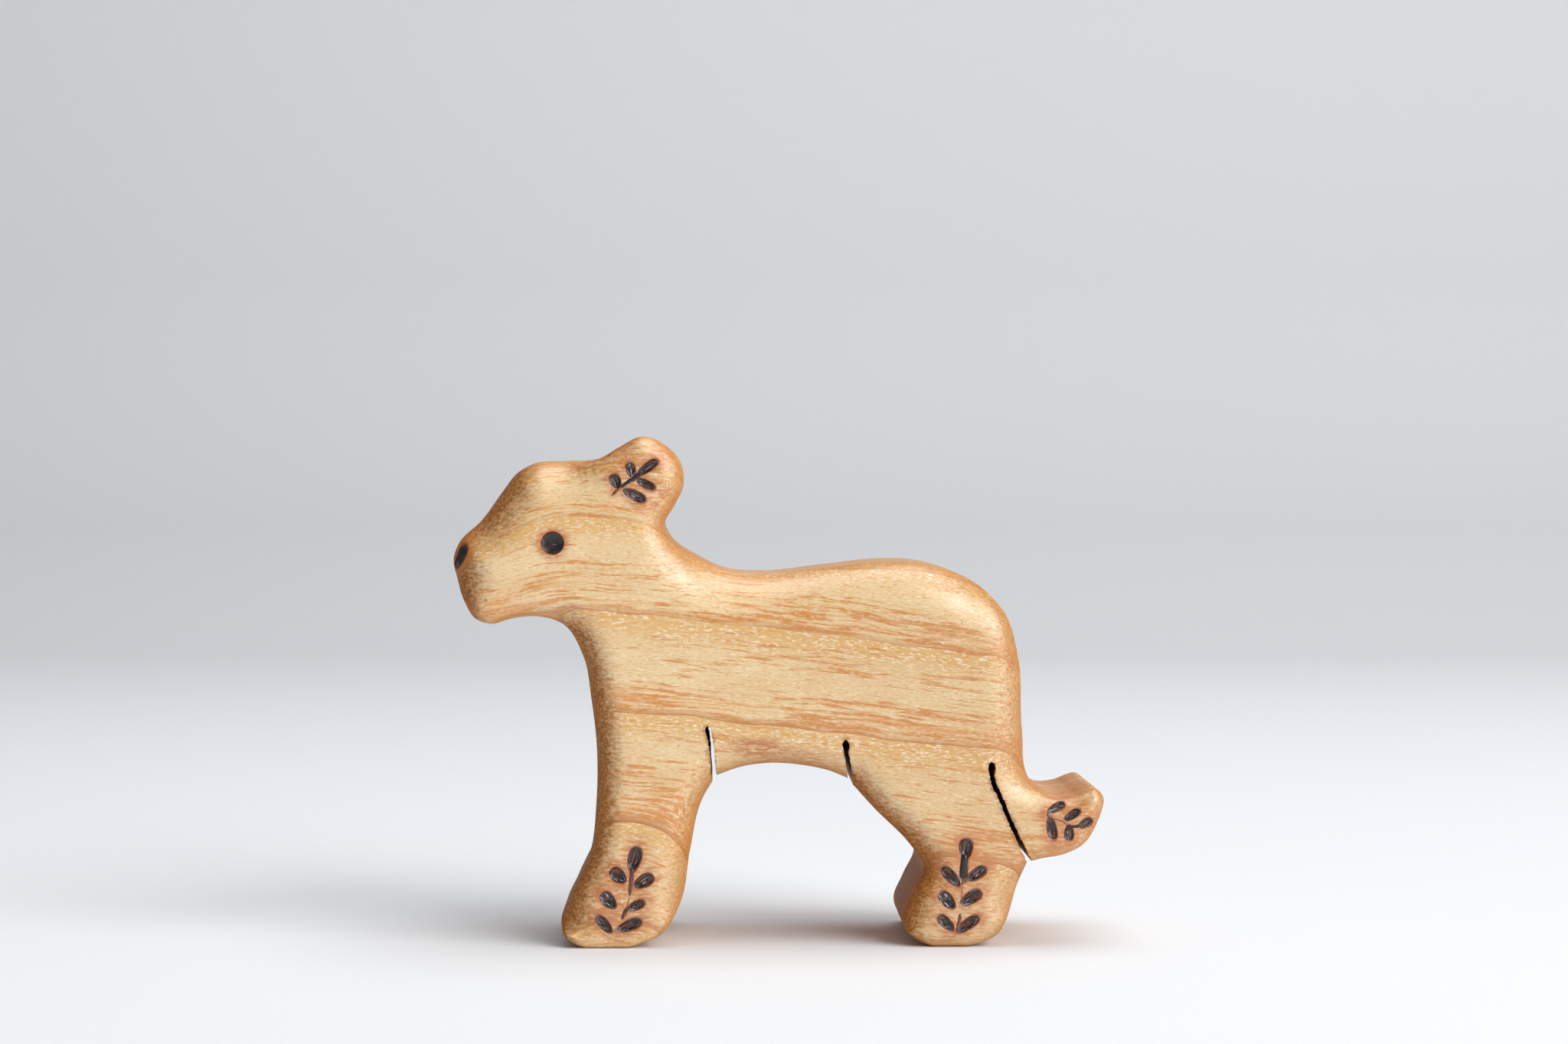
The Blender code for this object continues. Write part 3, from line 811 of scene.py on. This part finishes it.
grain, grain_in, grain_out = group(
    "board_grain",
    "ShaderNodeTree",
    (
        ("Millimetres", "Vector", None),
        ("Ring Wander", "Float", 0.9),
        ("Dash Amount", "Float", 1.0),
        ("Pore Amount", "Float", 1.0),
    ),
    [(label, "Float") for label in MASKS],
)
spot = apart(grain_in["Millimetres"])
level = maths("MULTIPLY_ADD", spot["X"], RING_FALL, spot["Z"])
level = maths("ADD", level, fade(spot["X"], *HEAD_BEND))
arch = maths("POWER", maths("SUBTRACT", spot["X"], ARCH_MIDDLE), 2.0)
arch = times(arch, fade(spot["X"], *ARCH_RISE))
arch = maths("SUBTRACT", arch, fade(spot["X"], *HIND_LIFT))
level = maths("MULTIPLY_ADD", arch, fade(spot["Z"], *PAW_TOP), level)
slow = noise(spot, SLOW_SWAY, 1.0)
sway = maths("MULTIPLY_ADD", noise(spot, QUICK_SWAY, 1.0), QUICK_SHARE, slow)
sway = maths("SUBTRACT", sway, (1 + QUICK_SHARE) / 2)
level = maths("ADD", level, times(sway, grain_in["Ring Wander"], SWAY_REACH))
near = maths("ADD", spot["Y"], HALF_BOARD)
height = maths("MULTIPLY_ADD", near, RING_TILT, level)
skew = maths("MULTIPLY_ADD", level, -RING_TILT, spot["Y"])
print("nodes that follow the rings:", len(grain.nodes))

# %% The ring number and the place in the ring
levels = {"Value": height, "From Min": RING_LINES[0], "From Max": RING_LINES[-1]}
share = follow("ShaderNodeMapRange", levels)[0]
ramp = add(grain, "ShaderNodeValToRGB", {0: share})
stops = ramp.color_ramp.elements
last_ring = len(RING_LINES) - 1
for index, line in enumerate(RING_LINES):
    at = (line - RING_LINES[0]) / (RING_LINES[-1] - RING_LINES[0])
    stop = stops[0] if index == 0 else stops[-1] if index == last_ring else stops.new(at)
    stop.color = (index / last_ring, RING_STRENGTHS[index], 0, 1)
ring = follow("ShaderNodeSeparateColor", {0: ramp.outputs["Color"]})
in_ring = maths("FRACT", times(ring["Red"], last_ring))
print("growth rings:", last_ring)

# %% [markdown]
# Above each ring line lies the late wood, full of fine orange streaks that thin out upwards.
# Then comes a pale middle, and a golden zone just under the next line, where pale flecks are laid
# on as painted glitter. The streaks are ragged, so their noise keeps several octaves and their edges
# stay soft.

# %% Lines, streaks and gold, which follow the rings
LINE_PATCHES = (0.09, 0.2, 0.1)
STRANDS = (0.06, 2.6, 0.35)

with_rings = (spot["X"], height, skew)
line = fade(in_ring, 0.0, 0.028, 1.0, 0.0)
line = maths("MAXIMUM", line, fade(in_ring, 0.0, 0.1, 0.6, 0.0))
line = times(line, fade(noise(with_rings, LINE_PATCHES), 0.3, 0.6, 0.7), ring["Green"])
deeper = fade(spot["Z"], *PAW_TOP, 1.0, PAW_LINE)
line = maths("MULTIPLY", line, deeper, use_clamp=True)
late = maths("POWER", fade(in_ring, 0.0, 0.6, 1.0, 0.0), 1.4)
late = times(late, fade(ring["Green"], 0.4, 0.9, 0.55, 1.0))
strands = times(fade(noise(with_rings, STRANDS, 3.0, 0.6), 0.47, 0.66), late)
gold = fade(in_ring, 0.66, 0.95)
print("nodes in the grain so far:", len(grain.nodes))

# %% Dashes, flecks, pores, clouds and specks, which follow the fibres
FIBRES = (0.22, 3.3, 3.3)
FIBRE_PATCHES = (0.06, 0.3, 0.4)
SHORT_FIBRES = (1.9, 7.5, 7.5)
FINE_PORES = (1.8, 8.0, 8.0)
BROAD_CLOUDS = (0.1, 0.22, 0.22)
ROUGH_SPECKS = (0.9, 3.8, 3.8)

with_fibres = (spot["X"], spot["Y"], level)
patches = fade(noise(with_fibres, FIBRE_PATCHES), 0.35, 0.65, 0.59, 0.51)
dash_start = maths("MULTIPLY_ADD", late, -0.12, patches)
dash_end = maths("ADD", dash_start, 0.12)
dashes = fade(noise(with_fibres, FIBRES, 4.0, 0.6), dash_start, dash_end)
dashes = times(dashes, grain_in["Dash Amount"])
flecks = fade(noise(with_fibres, SHORT_FIBRES, 3.0, 0.6), 0.48, 0.72)
pores = times(fade(noise(spot, FINE_PORES), 0.5, 0.7), grain_in["Pore Amount"])
clouds = noise(spot, BROAD_CLOUDS, 3.0)
specks = noise(spot, ROUGH_SPECKS, 4.0, 0.7)
masks = (line, strands, gold, dashes, flecks, pores, clouds, specks)
for label, mask in zip(MASKS, masks):
    grain.links.new(mask, grain_out[label])
print("nodes in the grain:", len(grain.nodes))

# %% [markdown]
# ## The oiled wood
# The faces are pale honey. The rounds are warmer, because there the cut crosses the fibres, and
# their outer rims are darker still with painted shade. The faces that look along the board soak up
# oil and turn brown and speckled, less so where they face the tail, as painted light from the right.
# Round every burnt mark the heat has browned the wood, strongest beside the char.

# %% Its colours
HONEY = colour("E9CC9A")
TAN = colour("D5A15F")
RIM_TAN_AND_SHADE = colour("C58B48")
GOLDEN = colour("DCA857")
STREAK = colour("DA8C2A")
DASH_BROWN = colour("D08226")
LINE_BROWN = colour("B67026")
GLITTER_CREAM = colour("FBEFD6")
PATCH_AND_SHADE_BROWN = colour("B46A2A")
END_TAN = colour("C08341")
END_BROWN = colour("93551F")
END_DARK = colour("6E3C18")
SCORCH_ORANGE = colour("BF7033")
SCORCH_RED = colour("7A3D22")
SCORCH_DARK = colour("33201C")
# Painted shade: the board is darkened a little from the head to the tail, between these two x,
# standing in for light that falls off towards the tail
TAILWARD_PAINTED_SHADE = colour("F2EFE9")
PAINTED_SHADE_SPAN = (-22.0, 24.0)
print("honey in light values:", [round(part, 3) for part in HONEY[:3]])

# %% Honey face, tan rounds, streaks and rings
oiled, tree, shader = new_material("oiled_cherry")
place = millimetres(tree)
wood = follow("ShaderNodeGroup", {"Millimetres": place}, node_tree=grain)
spot = apart(place)
facing = apart(add(tree, "ShaderNodeTexCoord").outputs["Normal"])
flatness = maths("ABSOLUTE", facing["Y"])
endways = maths("ABSOLUTE", facing["X"])

shade = layered(
    TAN,
    (fade(flatness, 0.45, 0.98), HONEY),
    # Warmer tan where the cut crosses the fibres, deepened on the outer rims as painted shade
    (fade(flatness, 0.1, 0.62, 0.65, 0.0), RIM_TAN_AND_SHADE),
    (fade(wood["Clouds"], 0.38, 0.7, 0.0, 0.4), TAN),
    (times(wood["Early Gold"], 0.75), GOLDEN),
    (times(wood["Late Wood"], 0.9), STREAK),
    (times(wood["Dashes"], 0.9), DASH_BROWN),
    (times(wood["Pores"], 0.55), DASH_BROWN),
)
# Painted shade: a multiply that darkens the wood from the head towards the tail
shade = tint(fade(spot["X"], *PAINTED_SHADE_SPAN), shade, TAILWARD_PAINTED_SHADE, "MULTIPLY")
# Painted glitter: cream flecks in the golden zone stand for fibres catching the light
painted_glitter = times(wood["Flecks"], fade(wood["Early Gold"], 0.0, 1.0, 0.4, 0.85))
shade = layered(shade, (painted_glitter, GLITTER_CREAM), (wood["Ring Line"], LINE_BROWN))
print("nodes in the oiled wood so far:", len(tree.nodes))

# %% Brown end grain, brown patches and painted shade
# Soft brown patches: x, z, half width, half height and strength. Two lie over the belly and one
# over the fore paw's sprig. The one at the tail's root is painted shade, where the rump shades the
# top of the tail.
BROWN_PATCHES_AND_SHADE = (
    (-2.2, 20.6, 4.2, 1.4, 0.8),
    (1.0, 19.2, 6.5, 1.8, 0.5),
    (29.4, 16.4, 1.7, 1.5, 0.7),
    (-16.2, 4.8, 3.4, 5.0, 0.65),
)
END_RAGGED = 0.22


def offset_squared(value, middle, half):
    """0 at a patch's middle and 1 at its edge, as a square."""
    offset = maths("DIVIDE", maths("SUBTRACT", value, middle), half)
    return maths("POWER", offset, 2.0)


ragged = fade(wood["Specks"], 0.3, 0.7, -0.5, 0.5)
ragged = maths("MULTIPLY_ADD", ragged, END_RAGGED, endways)
# Painted light: end grain that faces the tail is made paler, as if lit by a lamp on the right
painted_light_from_right = fade(facing["X"], -0.3, 0.3, 1.0, 0.55)
end_amount = times(fade(ragged, 0.06, 0.68, 0.0, 0.95), painted_light_from_right)
speckled = layered(
    END_TAN,
    (fade(wood["Specks"], 0.34, 0.6), END_BROWN),
    (fade(wood["Specks"], 0.52, 0.76, 0.0, 0.45), END_DARK),
)
shade = tint(end_amount, shade, speckled)
# Brown patches. The one at the tail's root is painted shade, where the rump shades the tail's top
for x, z, wide, high, strength in BROWN_PATCHES_AND_SHADE:
    aside = offset_squared(spot["X"], x, wide)
    above = offset_squared(spot["Z"], z, high)
    patch_or_shade = fade(maths("ADD", aside, above), 0.0, 1.0, strength, 0.0)
    patch_or_shade = times(patch_or_shade, fade(wood["Specks"], 0.38, 0.58, 0.1, 1.2))
    shade = tint(patch_or_shade, shade, PATCH_AND_SHADE_BROWN)
print("brown_patches_and_shade:", len(BROWN_PATCHES_AND_SHADE))

# %% Scorched halos and torn cut edges
scorched = attribute(tree, "scorch")
haze = times(fade(scorched, 0.12, 0.62, 0.0, 0.95), fade(wood["Specks"], 0.38, 0.6, 0.25, 1.0))
torn = times(attribute(tree, "cut_edge"), fade(wood["Specks"], 0.35, 0.6, 0.5, 1.1))
shade = layered(
    shade,
    (haze, SCORCH_ORANGE),
    (fade(scorched, 0.7, 0.93, 0.0, 0.85), SCORCH_RED),
    (fade(scorched, 0.93, 1.0), SCORCH_DARK),
    (fade(torn, 0.45, 0.95, 0.0, 0.7), END_BROWN),
)
print("nodes in the oiled wood's colour:", len(tree.nodes))

# %% Its gloss and its touch
FIBRE_RIDGES = (0.6, 5.0, 5.0)

rough = fade(wood["Clouds"], 0.3, 0.7, 0.34, 0.42)
rough = maths("MULTIPLY_ADD", wood["Pores"], 0.12, rough)
rough = maths("MULTIPLY_ADD", end_amount, 0.25, rough)
shine = times(fade(flatness, 0.38, 0.7, 0.04, 1.0), maths("SUBTRACT", 1.0, end_amount))
relief = times(noise(spot, FIBRE_RIDGES), 0.5)
relief = maths("MULTIPLY_ADD", wood["Pores"], -0.5, relief)
relief = maths("MULTIPLY_ADD", wood["Dashes"], -0.2, relief)
oil = {
    "Base Color": shade,
    "Roughness": rough,
    "Specular IOR Level": 0.25,
    "Coat Weight": shine,
    "Coat IOR": 1.8,
    "Coat Roughness": 0.37,
    "Normal": raised(relief, 0.5, 0.03),
}
fill(tree, shader, oil)
print("nodes in the oiled wood:", len(tree.nodes))

# %% [markdown]
# ## The sawn walls
# Inside the cuts the wood was never sanded or oiled. A fast blade leaves it dull and brown, with
# fine lines across the board, and slightly burnt.

# %% Dull sawn wood
SAWN_LIGHT = colour("D0A27C")
SAWN_DARK = colour("7A5238")
BLADE_MARKS = (3.0, 0.15, 3.0)

sawn, tree, shader = new_material("sawn_cherry")
place = millimetres(tree)
amounts = {"Millimetres": place, "Dash Amount": 0.5, "Pore Amount": 0.6}
wood = follow("ShaderNodeGroup", amounts, node_tree=grain)
blade = noise(apart(place), BLADE_MARKS, 3.0)
shade = layered(
    SAWN_DARK,
    (fade(blade, 0.35, 0.65), SAWN_LIGHT),
    (times(wood["Late Wood"], 0.5), SCORCH_RED),
    # Painted glitter: a few cream flecks
    (times(wood["Flecks"], 0.3), GLITTER_CREAM),
)
walls = raised(blade, 0.6, 0.05)
fill(tree, shader, {"Base Color": shade, "Roughness": 0.85, "Normal": walls})
print("nodes in the sawn wood:", len(tree.nodes))

# %% [markdown]
# ## The char
# The iron leaves the wood near-black with a violet tinge, drawn into ridges along each dab, and
# red-brown where the burn thins out at the edge. Faint strokes are hardly more than brown. The
# grey-lilac glints on the ridge crests are painted highlights of the char's gloss.

# %% Glossy char, brown at its thin edge
CHAR_BROWN = colour("9A5B36")
CHAR_RED = colour("7A432E")
CHAR_DARK = colour("3A2520")
CHAR_BLACK = colour("140F12")
CHAR_PAINTED_GLINT = colour("A29CA8")
# The ridges run along a dab, and differ from dab to dab
RIDGES = (0.9, 3.4, 7.3)
RIDGE_FIELDS = ("along", "across", "seed")

charred, tree, shader = new_material("iron_char")
wood = follow("ShaderNodeGroup", {"Millimetres": millimetres(tree)}, node_tree=grain)
ridges = noise([attribute(tree, field) for field in RIDGE_FIELDS], RIDGES)
burn = times(attribute(tree, "dark"), fade(attribute(tree, "level"), 0.8, 1.0, 1.0, 0.62))
burn = maths("ADD", burn, fade(wood["Specks"], 0.3, 0.7, 0.08, -0.08))
drawn_out = fade(attribute(tree, "seed"), 0.5, 1.5, 0.25, 1.0)
shade = layered(
    CHAR_BROWN,
    (fade(burn, 0.1, 0.4), CHAR_RED),
    (fade(burn, 0.35, 0.65), CHAR_DARK),
    (fade(burn, 0.75, 1.0), CHAR_BLACK),
    (times(fade(ridges, 0.48, 0.36, 0.0, 0.8), drawn_out), CHAR_RED),
    # Painted highlight: grey-lilac glints along the ridge crests
    (times(fade(ridges, 0.6, 0.65, 0.0, 0.9), drawn_out), CHAR_PAINTED_GLINT),
)
char = {
    "Base Color": shade,
    "Roughness": fade(ridges, 0.3, 0.7, 0.42, 0.24),
    "Coat Weight": 0.3,
    "Coat Roughness": 0.2,
    "Normal": raised(ridges, 0.7, 0.04),
}
fill(tree, shader, char)
print("nodes in the char:", len(tree.nodes))

# %% [markdown]
# ## The burnt marks
# Every mark is the same two things, set down many times on a curved surface: a dab and a
# stroke. That is work for Geometry Nodes. The tree takes a flat drawing with one loose point for
# each dab and a chain of edges for each stroke. It sets a leaf on every point and a thin tube
# along every chain, and then throws it all onto the sanded board with a ray.

# %% One dab, drawn flat
CHAR_LAP = 0.03
RIM_SINK = 0.1
DISH_DEPTH = 0.17
CHAR_DEPTH = 0.42
# How late the dish and the underside curve up to the rim, as powers of the level
DISH_CURVE, KEEL_CURVE = 3, 6
DAB_ROWS = 20
DAB_LANES = 18
NO_LENGTH = 1e-8


def dab_blank(name, taper, blunt):
    """A closed drop one metre long and wide, dished on top, with its depth along y."""
    blank = bmesh.new()
    layers = {key: blank.verts.layers.float.new(key) for key in ("along", "across", "level")}
    sides = []
    for top in (True, False):
        rows = []
        for row in range(DAB_ROWS + 1):
            along = -math.cos(math.pi * row / DAB_ROWS)
            half = max(1 - abs(along) ** blunt, 0) ** (1 / blunt)
            lanes = []
            for lane in range(DAB_LANES + 1):
                across = 2 * lane / DAB_LANES - 1
                level = (abs(along) ** blunt + abs(across * half) ** blunt) ** (1 / blunt)
                level = min(level, 1)
                if top:
                    depth = RIM_SINK + DISH_DEPTH * (1 - level**DISH_CURVE)
                else:
                    depth = RIM_SINK + (CHAR_DEPTH - RIM_SINK) * (1 - level**KEEL_CURVE)
                side = across * half * (1 + taper * along) / 2
                corner = blank.verts.new((along / 2, depth * MM, side))
                corner[layers["along"]] = along
                corner[layers["across"]] = across
                corner[layers["level"]] = level
                lanes.append(corner)
            rows.append(lanes)
        sides.append(rows)
    for rows in sides:
        for low, high in zip(rows, rows[1:]):
            for lane in range(DAB_LANES):
                blank.faces.new((low[lane], high[lane], high[lane + 1], low[lane + 1]))
    bmesh.ops.remove_doubles(blank, verts=blank.verts, dist=WELD)
    bmesh.ops.dissolve_degenerate(blank, edges=blank.edges, dist=NO_LENGTH)
    bmesh.ops.triangulate(blank, faces=blank.faces)
    bmesh.ops.recalc_face_normals(blank, faces=blank.faces)
    return in_scene(name, mesh_of(blank, name))


leaf_dab = dab_blank("leaf_dab", *LEAF_FORM)
round_dab = dab_blank("round_dab", *ROUND_FORM)
board = in_scene("sanded_board", sanded)
print("triangles in a dab:", len(leaf_dab.data.polygons))

# %% The tree that burns a drawing into the board
STROKE_SIDES = 12

burner, burner_in, burner_out = group(
    "burnt_marks",
    "GeometryNodeTree",
    (
        ("Drawing", "Geometry", None),
        ("Board", "Object", None),
        ("Dab", "Object", None),
        ("Side", "Float", -1.0),
        ("Ridge Height", "Float", 0.00003),
        ("Stroke Height", "Float", 0.35),
        ("Jag", "Float", 0.00045),
        ("Char", "Material", None),
    ),
    (("Marks", "Geometry"),),
)


def step(kind, inputs=None, **options):
    """What comes out of one more geometry node of the tree."""
    return add(burner, "GeometryNode" + kind, inputs, **options).outputs


def named(label):
    """A field that the drawing's points carry."""
    return step("InputNamedAttribute", {"Name": label}, data_type="FLOAT")[0]


def reckon(operation, *values):
    """The outcome of one vector sum."""
    sockets = dict(zip((0, "Scale" if operation == "SCALE" else 1), values))
    return follow("ShaderNodeVectorMath", sockets, operation=operation)[0]


is_dab = maths("GREATER_THAN", named("length"), 0.0)
is_stroke = maths("GREATER_THAN", named("half_width"), 0.0)
parts = step("SeparateGeometry", {"Geometry": burner_in["Drawing"], "Selection": is_dab})
instances = {
    "Points": parts["Selection"],
    "Instance": step("ObjectInfo", {"Object": burner_in["Dab"]})["Geometry"],
    "Rotation": vector(Y=times(named("tilt"), -1.0)),
    "Scale": vector(X=named("length"), Y=1.0, Z=named("width")),
}
dabs = step("RealizeInstances", {0: step("InstanceOnPoints", instances)[0]})[0]

tubes = {
    "Curve": step("MeshToCurve", {"Mesh": parts["Inverted"]})[0],
    "Profile Curve": step("CurvePrimitiveCircle", {"Resolution": STROKE_SIDES, "Radius": 1.0})[0],
    "Scale": named("half_width"),
    "Fill Caps": True,
}
marks = add(burner, "GeometryNodeJoinGeometry")
burner.links.new(step("CurveToMesh", tubes)[0], marks.inputs[0])
burner.links.new(dabs, marks.inputs[0])
print("nodes so far:", len(burner.nodes))

# %% [markdown]
# A little noise makes every edge ragged. Then a ray from well outside finds where each point
# lies on the board. Its own y is its depth there: dabs keep it, strokes are flattened. Noise
# that is long along the dab raises the ridges.

# %% The ragged edge and the ray
RAY_START = 0.05
JAG_FINENESS = 2600.0
STROKE_JAG = 0.6

here = step("InputPosition")[0]
grit = {"Vector": here, "Scale": JAG_FINENESS, "Detail": 1.0}
jag = follow("ShaderNodeTexNoise", grit)["Color"]
jag = reckon("SUBTRACT", jag, (0.5, 0.5, 0.5))
loose_edge = maths("MULTIPLY_ADD", is_stroke, STROKE_JAG, named("level"))
jag = reckon("SCALE", jag, times(burner_in["Jag"], loose_edge))
jag = reckon("MULTIPLY", jag, (1.0, 0.0, 1.0))
ragged = step("SetPosition", {"Geometry": marks.outputs[0], "Offset": jag})[0]

flat_place = apart(here)
start_y = times(burner_in["Side"], RAY_START)
ray = {
    "Target Geometry": step("ObjectInfo", {"Object": burner_in["Board"]})["Geometry"],
    "Attribute": step("InputNormal")[0],
    "Source Position": vector(X=flat_place["X"], Y=start_y, Z=flat_place["Z"]),
    "Ray Direction": vector(Y=times(burner_in["Side"], -1.0)),
    "Ray Length": RAY_START * 2,
}
hit = step("Raycast", ray, data_type="FLOAT_VECTOR")
print("nodes so far:", len(burner.nodes))

# %% Depth, ridges and finish
stroke_depth = times(flat_place["Y"], burner_in["Stroke Height"])
stroke_depth = maths("ADD", stroke_depth, named("sink"))
depth = follow("ShaderNodeMix", {0: is_stroke, 2: flat_place["Y"], 3: stroke_depth})[0]
ridge = noise([named(field) for field in RIDGE_FIELDS], RIDGES, 1.0)
ridge = maths("SUBTRACT", ridge, 0.5)
inner = fade(named("level"), 1.0, 0.75, 0.0, 2.0)
ridge = times(ridge, burner_in["Ridge Height"], inner)
out = reckon("SCALE", hit["Attribute"], maths("SUBTRACT", ridge, depth))
set_down = reckon("ADD", hit["Hit Position"], out)

laid = step("SetPosition", {"Geometry": ragged, "Position": set_down})[0]
far_side = maths("GREATER_THAN", burner_in["Side"], 0.0)
laid = step("FlipFaces", {"Mesh": laid, "Selection": far_side})[0]
laid = step("SetShadeSmooth", {"Geometry": laid})[0]
laid = step("RealizeInstances", {0: laid})[0]
laid = step("SetMaterial", {"Geometry": laid, "Material": burner_in["Char"]})[0]
burner.links.new(laid, burner_out["Marks"])
print("nodes in the tree:", len(burner.nodes))

# %% [markdown]
# Each drawing is a small flat mesh. Its points carry what the tree needs to know: the size and
# tilt of a dab, or the thickness, depth and darkness of a stroke.

# %% The flat drawing of one mark
STROKE_SINK = 0.07
STROKE_ENDS = 0.35
STROKE_TIP = 0.05
FIELDS = ("length", "width", "tilt", "half_width", "sink", "dark", "seed")


def flat_mark(name, dabs, strokes):
    """The flat drawing of one mark, as loose points and chains of edges."""
    points, edges, rows = [], [], []
    for number, (x, z, length, width, tilt) in enumerate(dabs):
        x, z = placed((x, z))
        points.append((x * MM, 0, z * MM))
        size = ((length + 2 * CHAR_LAP) * MM, (width + 2 * CHAR_LAP) * MM)
        rows.append((*size, math.radians(tilt), 0, 0, 1, number + len(dabs) - 1))
    for stroke in strokes:
        line, dark = stroke_rows(stroke), stroke[3]
        first = len(points)
        edges.extend((first + index, first + index + 1) for index in range(len(line) - 1))
        run = run_along(line[:, :2])
        end = np.minimum(run, run[-1] - run) / STROKE_ENDS
        thin = np.sqrt(np.clip(end, STROKE_TIP, 1))
        for (x, z, half), share in zip(line, thin):
            points.append((x * MM, 0, z * MM))
            rows.append((0, 0, 0, half * share * MM, STROKE_SINK * dark * MM, dark, 0))
    mesh = bpy.data.meshes.new(name)
    mesh.from_pydata(points, edges, [])
    for field, values in zip(FIELDS, zip(*rows)):
        mesh.attributes.new(field, "FLOAT", "POINT").data.foreach_set("value", values)
    return mesh


# %% Burn all the marks into both sides
SIDES = {"left": -1.0, "right": 1.0}
# Each mark's dabs, strokes, blank and height of its ridges in metres
MARKS = {"eye": ((EYE,), (), round_dab, 0.0), "nostril": ((NOSTRIL,), (), leaf_dab, 0.00002)}
for name, sprig in SPRIGS.items():
    MARKS[name] = (sprig["dabs"], sprig["strokes"], leaf_dab, 0.0001)


def burn_mark(name, node, drawing, side, dab, ridge_height):
    """One mark on one side, as a plain mesh that stands for its node."""
    piece = in_scene(name, drawing)
    modifier = piece.modifiers.new("burn", "NODES")
    modifier.node_group = burner
    items = burner.interface.items_tree
    sockets = {item.name: item.identifier for item in items if item.in_out == "INPUT"}
    values = {"Board": board, "Dab": dab, "Char": charred}
    values |= {"Side": SIDES[side], "Ridge Height": ridge_height}
    for label, value in values.items():
        modifier[sockets[label]] = value
    bpy.context.view_layer.update()
    evaluated = piece.evaluated_get(bpy.context.evaluated_depsgraph_get())
    mesh = bpy.data.meshes.new_from_object(evaluated)
    mesh.name = name
    piece.modifiers.clear()
    piece.data = mesh
    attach(piece, "root")
    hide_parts(node)
    return piece


for name, (dabs, strokes, dab, ridge_height) in MARKS.items():
    for side in SIDES:
        drawing = flat_mark(f"{name}_{side}_drawing", dabs, strokes)
        node = f"{name}_{side}"
        piece = burn_mark(f"burnt_{node}", node, drawing, side, dab, ridge_height)
        print(piece.name, len(piece.data.polygons), "faces")
for helper in (leaf_dab, round_dab, board):
    bpy.data.objects.remove(helper)

# %% The body takes its place
body.data.materials.append(oiled)
body.data.materials.append(sawn)
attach(body, "root")
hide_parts("cub_body")
print("the body's finishes:", [finish.name for finish in body.data.materials])

# %% [markdown]
# ## The picture
# The camera stands about 35 centimetres in front of the cub and a little to the left of its
# middle, so that the front cut can just be looked through. One large soft lamp stands to the
# right in front of the cub, like a window, and a weaker one hangs above it.

# %% Camera
CAMERA_PLACE = Vector((-0.0066, -0.351, 0.048))
CAMERA_TILT = math.radians(90 - 0.75)
CAMERA_YAW = math.radians(-1.2)
LENS = 50.0
SENSOR = 23.5

camera = in_scene("camera", bpy.data.cameras.new("camera"))
camera.data.lens = LENS
camera.data.sensor_width = SENSOR
camera.location = CAMERA_PLACE
camera.rotation_euler = (CAMERA_TILT, 0, CAMERA_YAW)
bpy.context.scene.camera = camera
print("view, degrees:", round(math.degrees(camera.data.angle), 1))

# %% Paper sweep
SWEEP = ((-0.9, 0.0), (0.55, 0.0), (0.75, 0.03), (0.88, 0.12), (0.93, 0.3), (0.95, 0.9))
SWEEP_WIDTH = 1.6
PAPER = colour("EBEDF0")

sweep = bmesh.new()
rows = [[sweep.verts.new((x, y, z)) for x in (-SWEEP_WIDTH, SWEEP_WIDTH)] for y, z in SWEEP]
for low, high in zip(rows, rows[1:]):
    sweep.faces.new((low[0], low[1], high[1], high[0]))
paper = in_scene("paper_sweep", mesh_of(sweep, "paper_sweep"))
paper.data.shade_smooth()
white, tree, shader = new_material("pale_paper")
fill(tree, shader, {"Base Color": PAPER, "Roughness": 0.8})
paper.data.materials.append(white)
paper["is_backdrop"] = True
print("sheets of paper:", len(paper.data.polygons))

# %% Lamps and the soft room
# A lamp's name, place, width in metres, power in watts and colour
LAMPS = (
    ("window", (0.8, -0.68, 0.57), 0.95, 14.5, "FFFEFC"),
    ("ceiling", (0.06, 0.03, 0.72), 0.65, 3.2, "FBFDFF"),
)
LAMP_AIM = Vector((0, 0, 0.025))
ROOM_LIGHT = colour("F3F4F6")
ROOM_STRENGTH = 0.2

for name, lamp_place, wide, power, glow in LAMPS:
    lamp = in_scene(name, bpy.data.lights.new(name, "AREA"))
    lamp.data.energy = power
    lamp.data.size = wide
    lamp.data.color = colour(glow)[:3]
    lamp.location = lamp_place
    lamp.rotation_euler = (Vector(lamp_place) - LAMP_AIM).to_track_quat("Z", "Y").to_euler()

room = bpy.data.worlds.new("soft_room")
bpy.context.scene.world = room
room.use_nodes = True
light = {"Color": ROOM_LIGHT, "Strength": ROOM_STRENGTH}
fill(room.node_tree, room.node_tree.nodes["Background"], light)
bpy.context.scene.view_settings.view_transform = "Standard"
print("lamps:", len(LAMPS))

# %% Sizes
low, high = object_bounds()
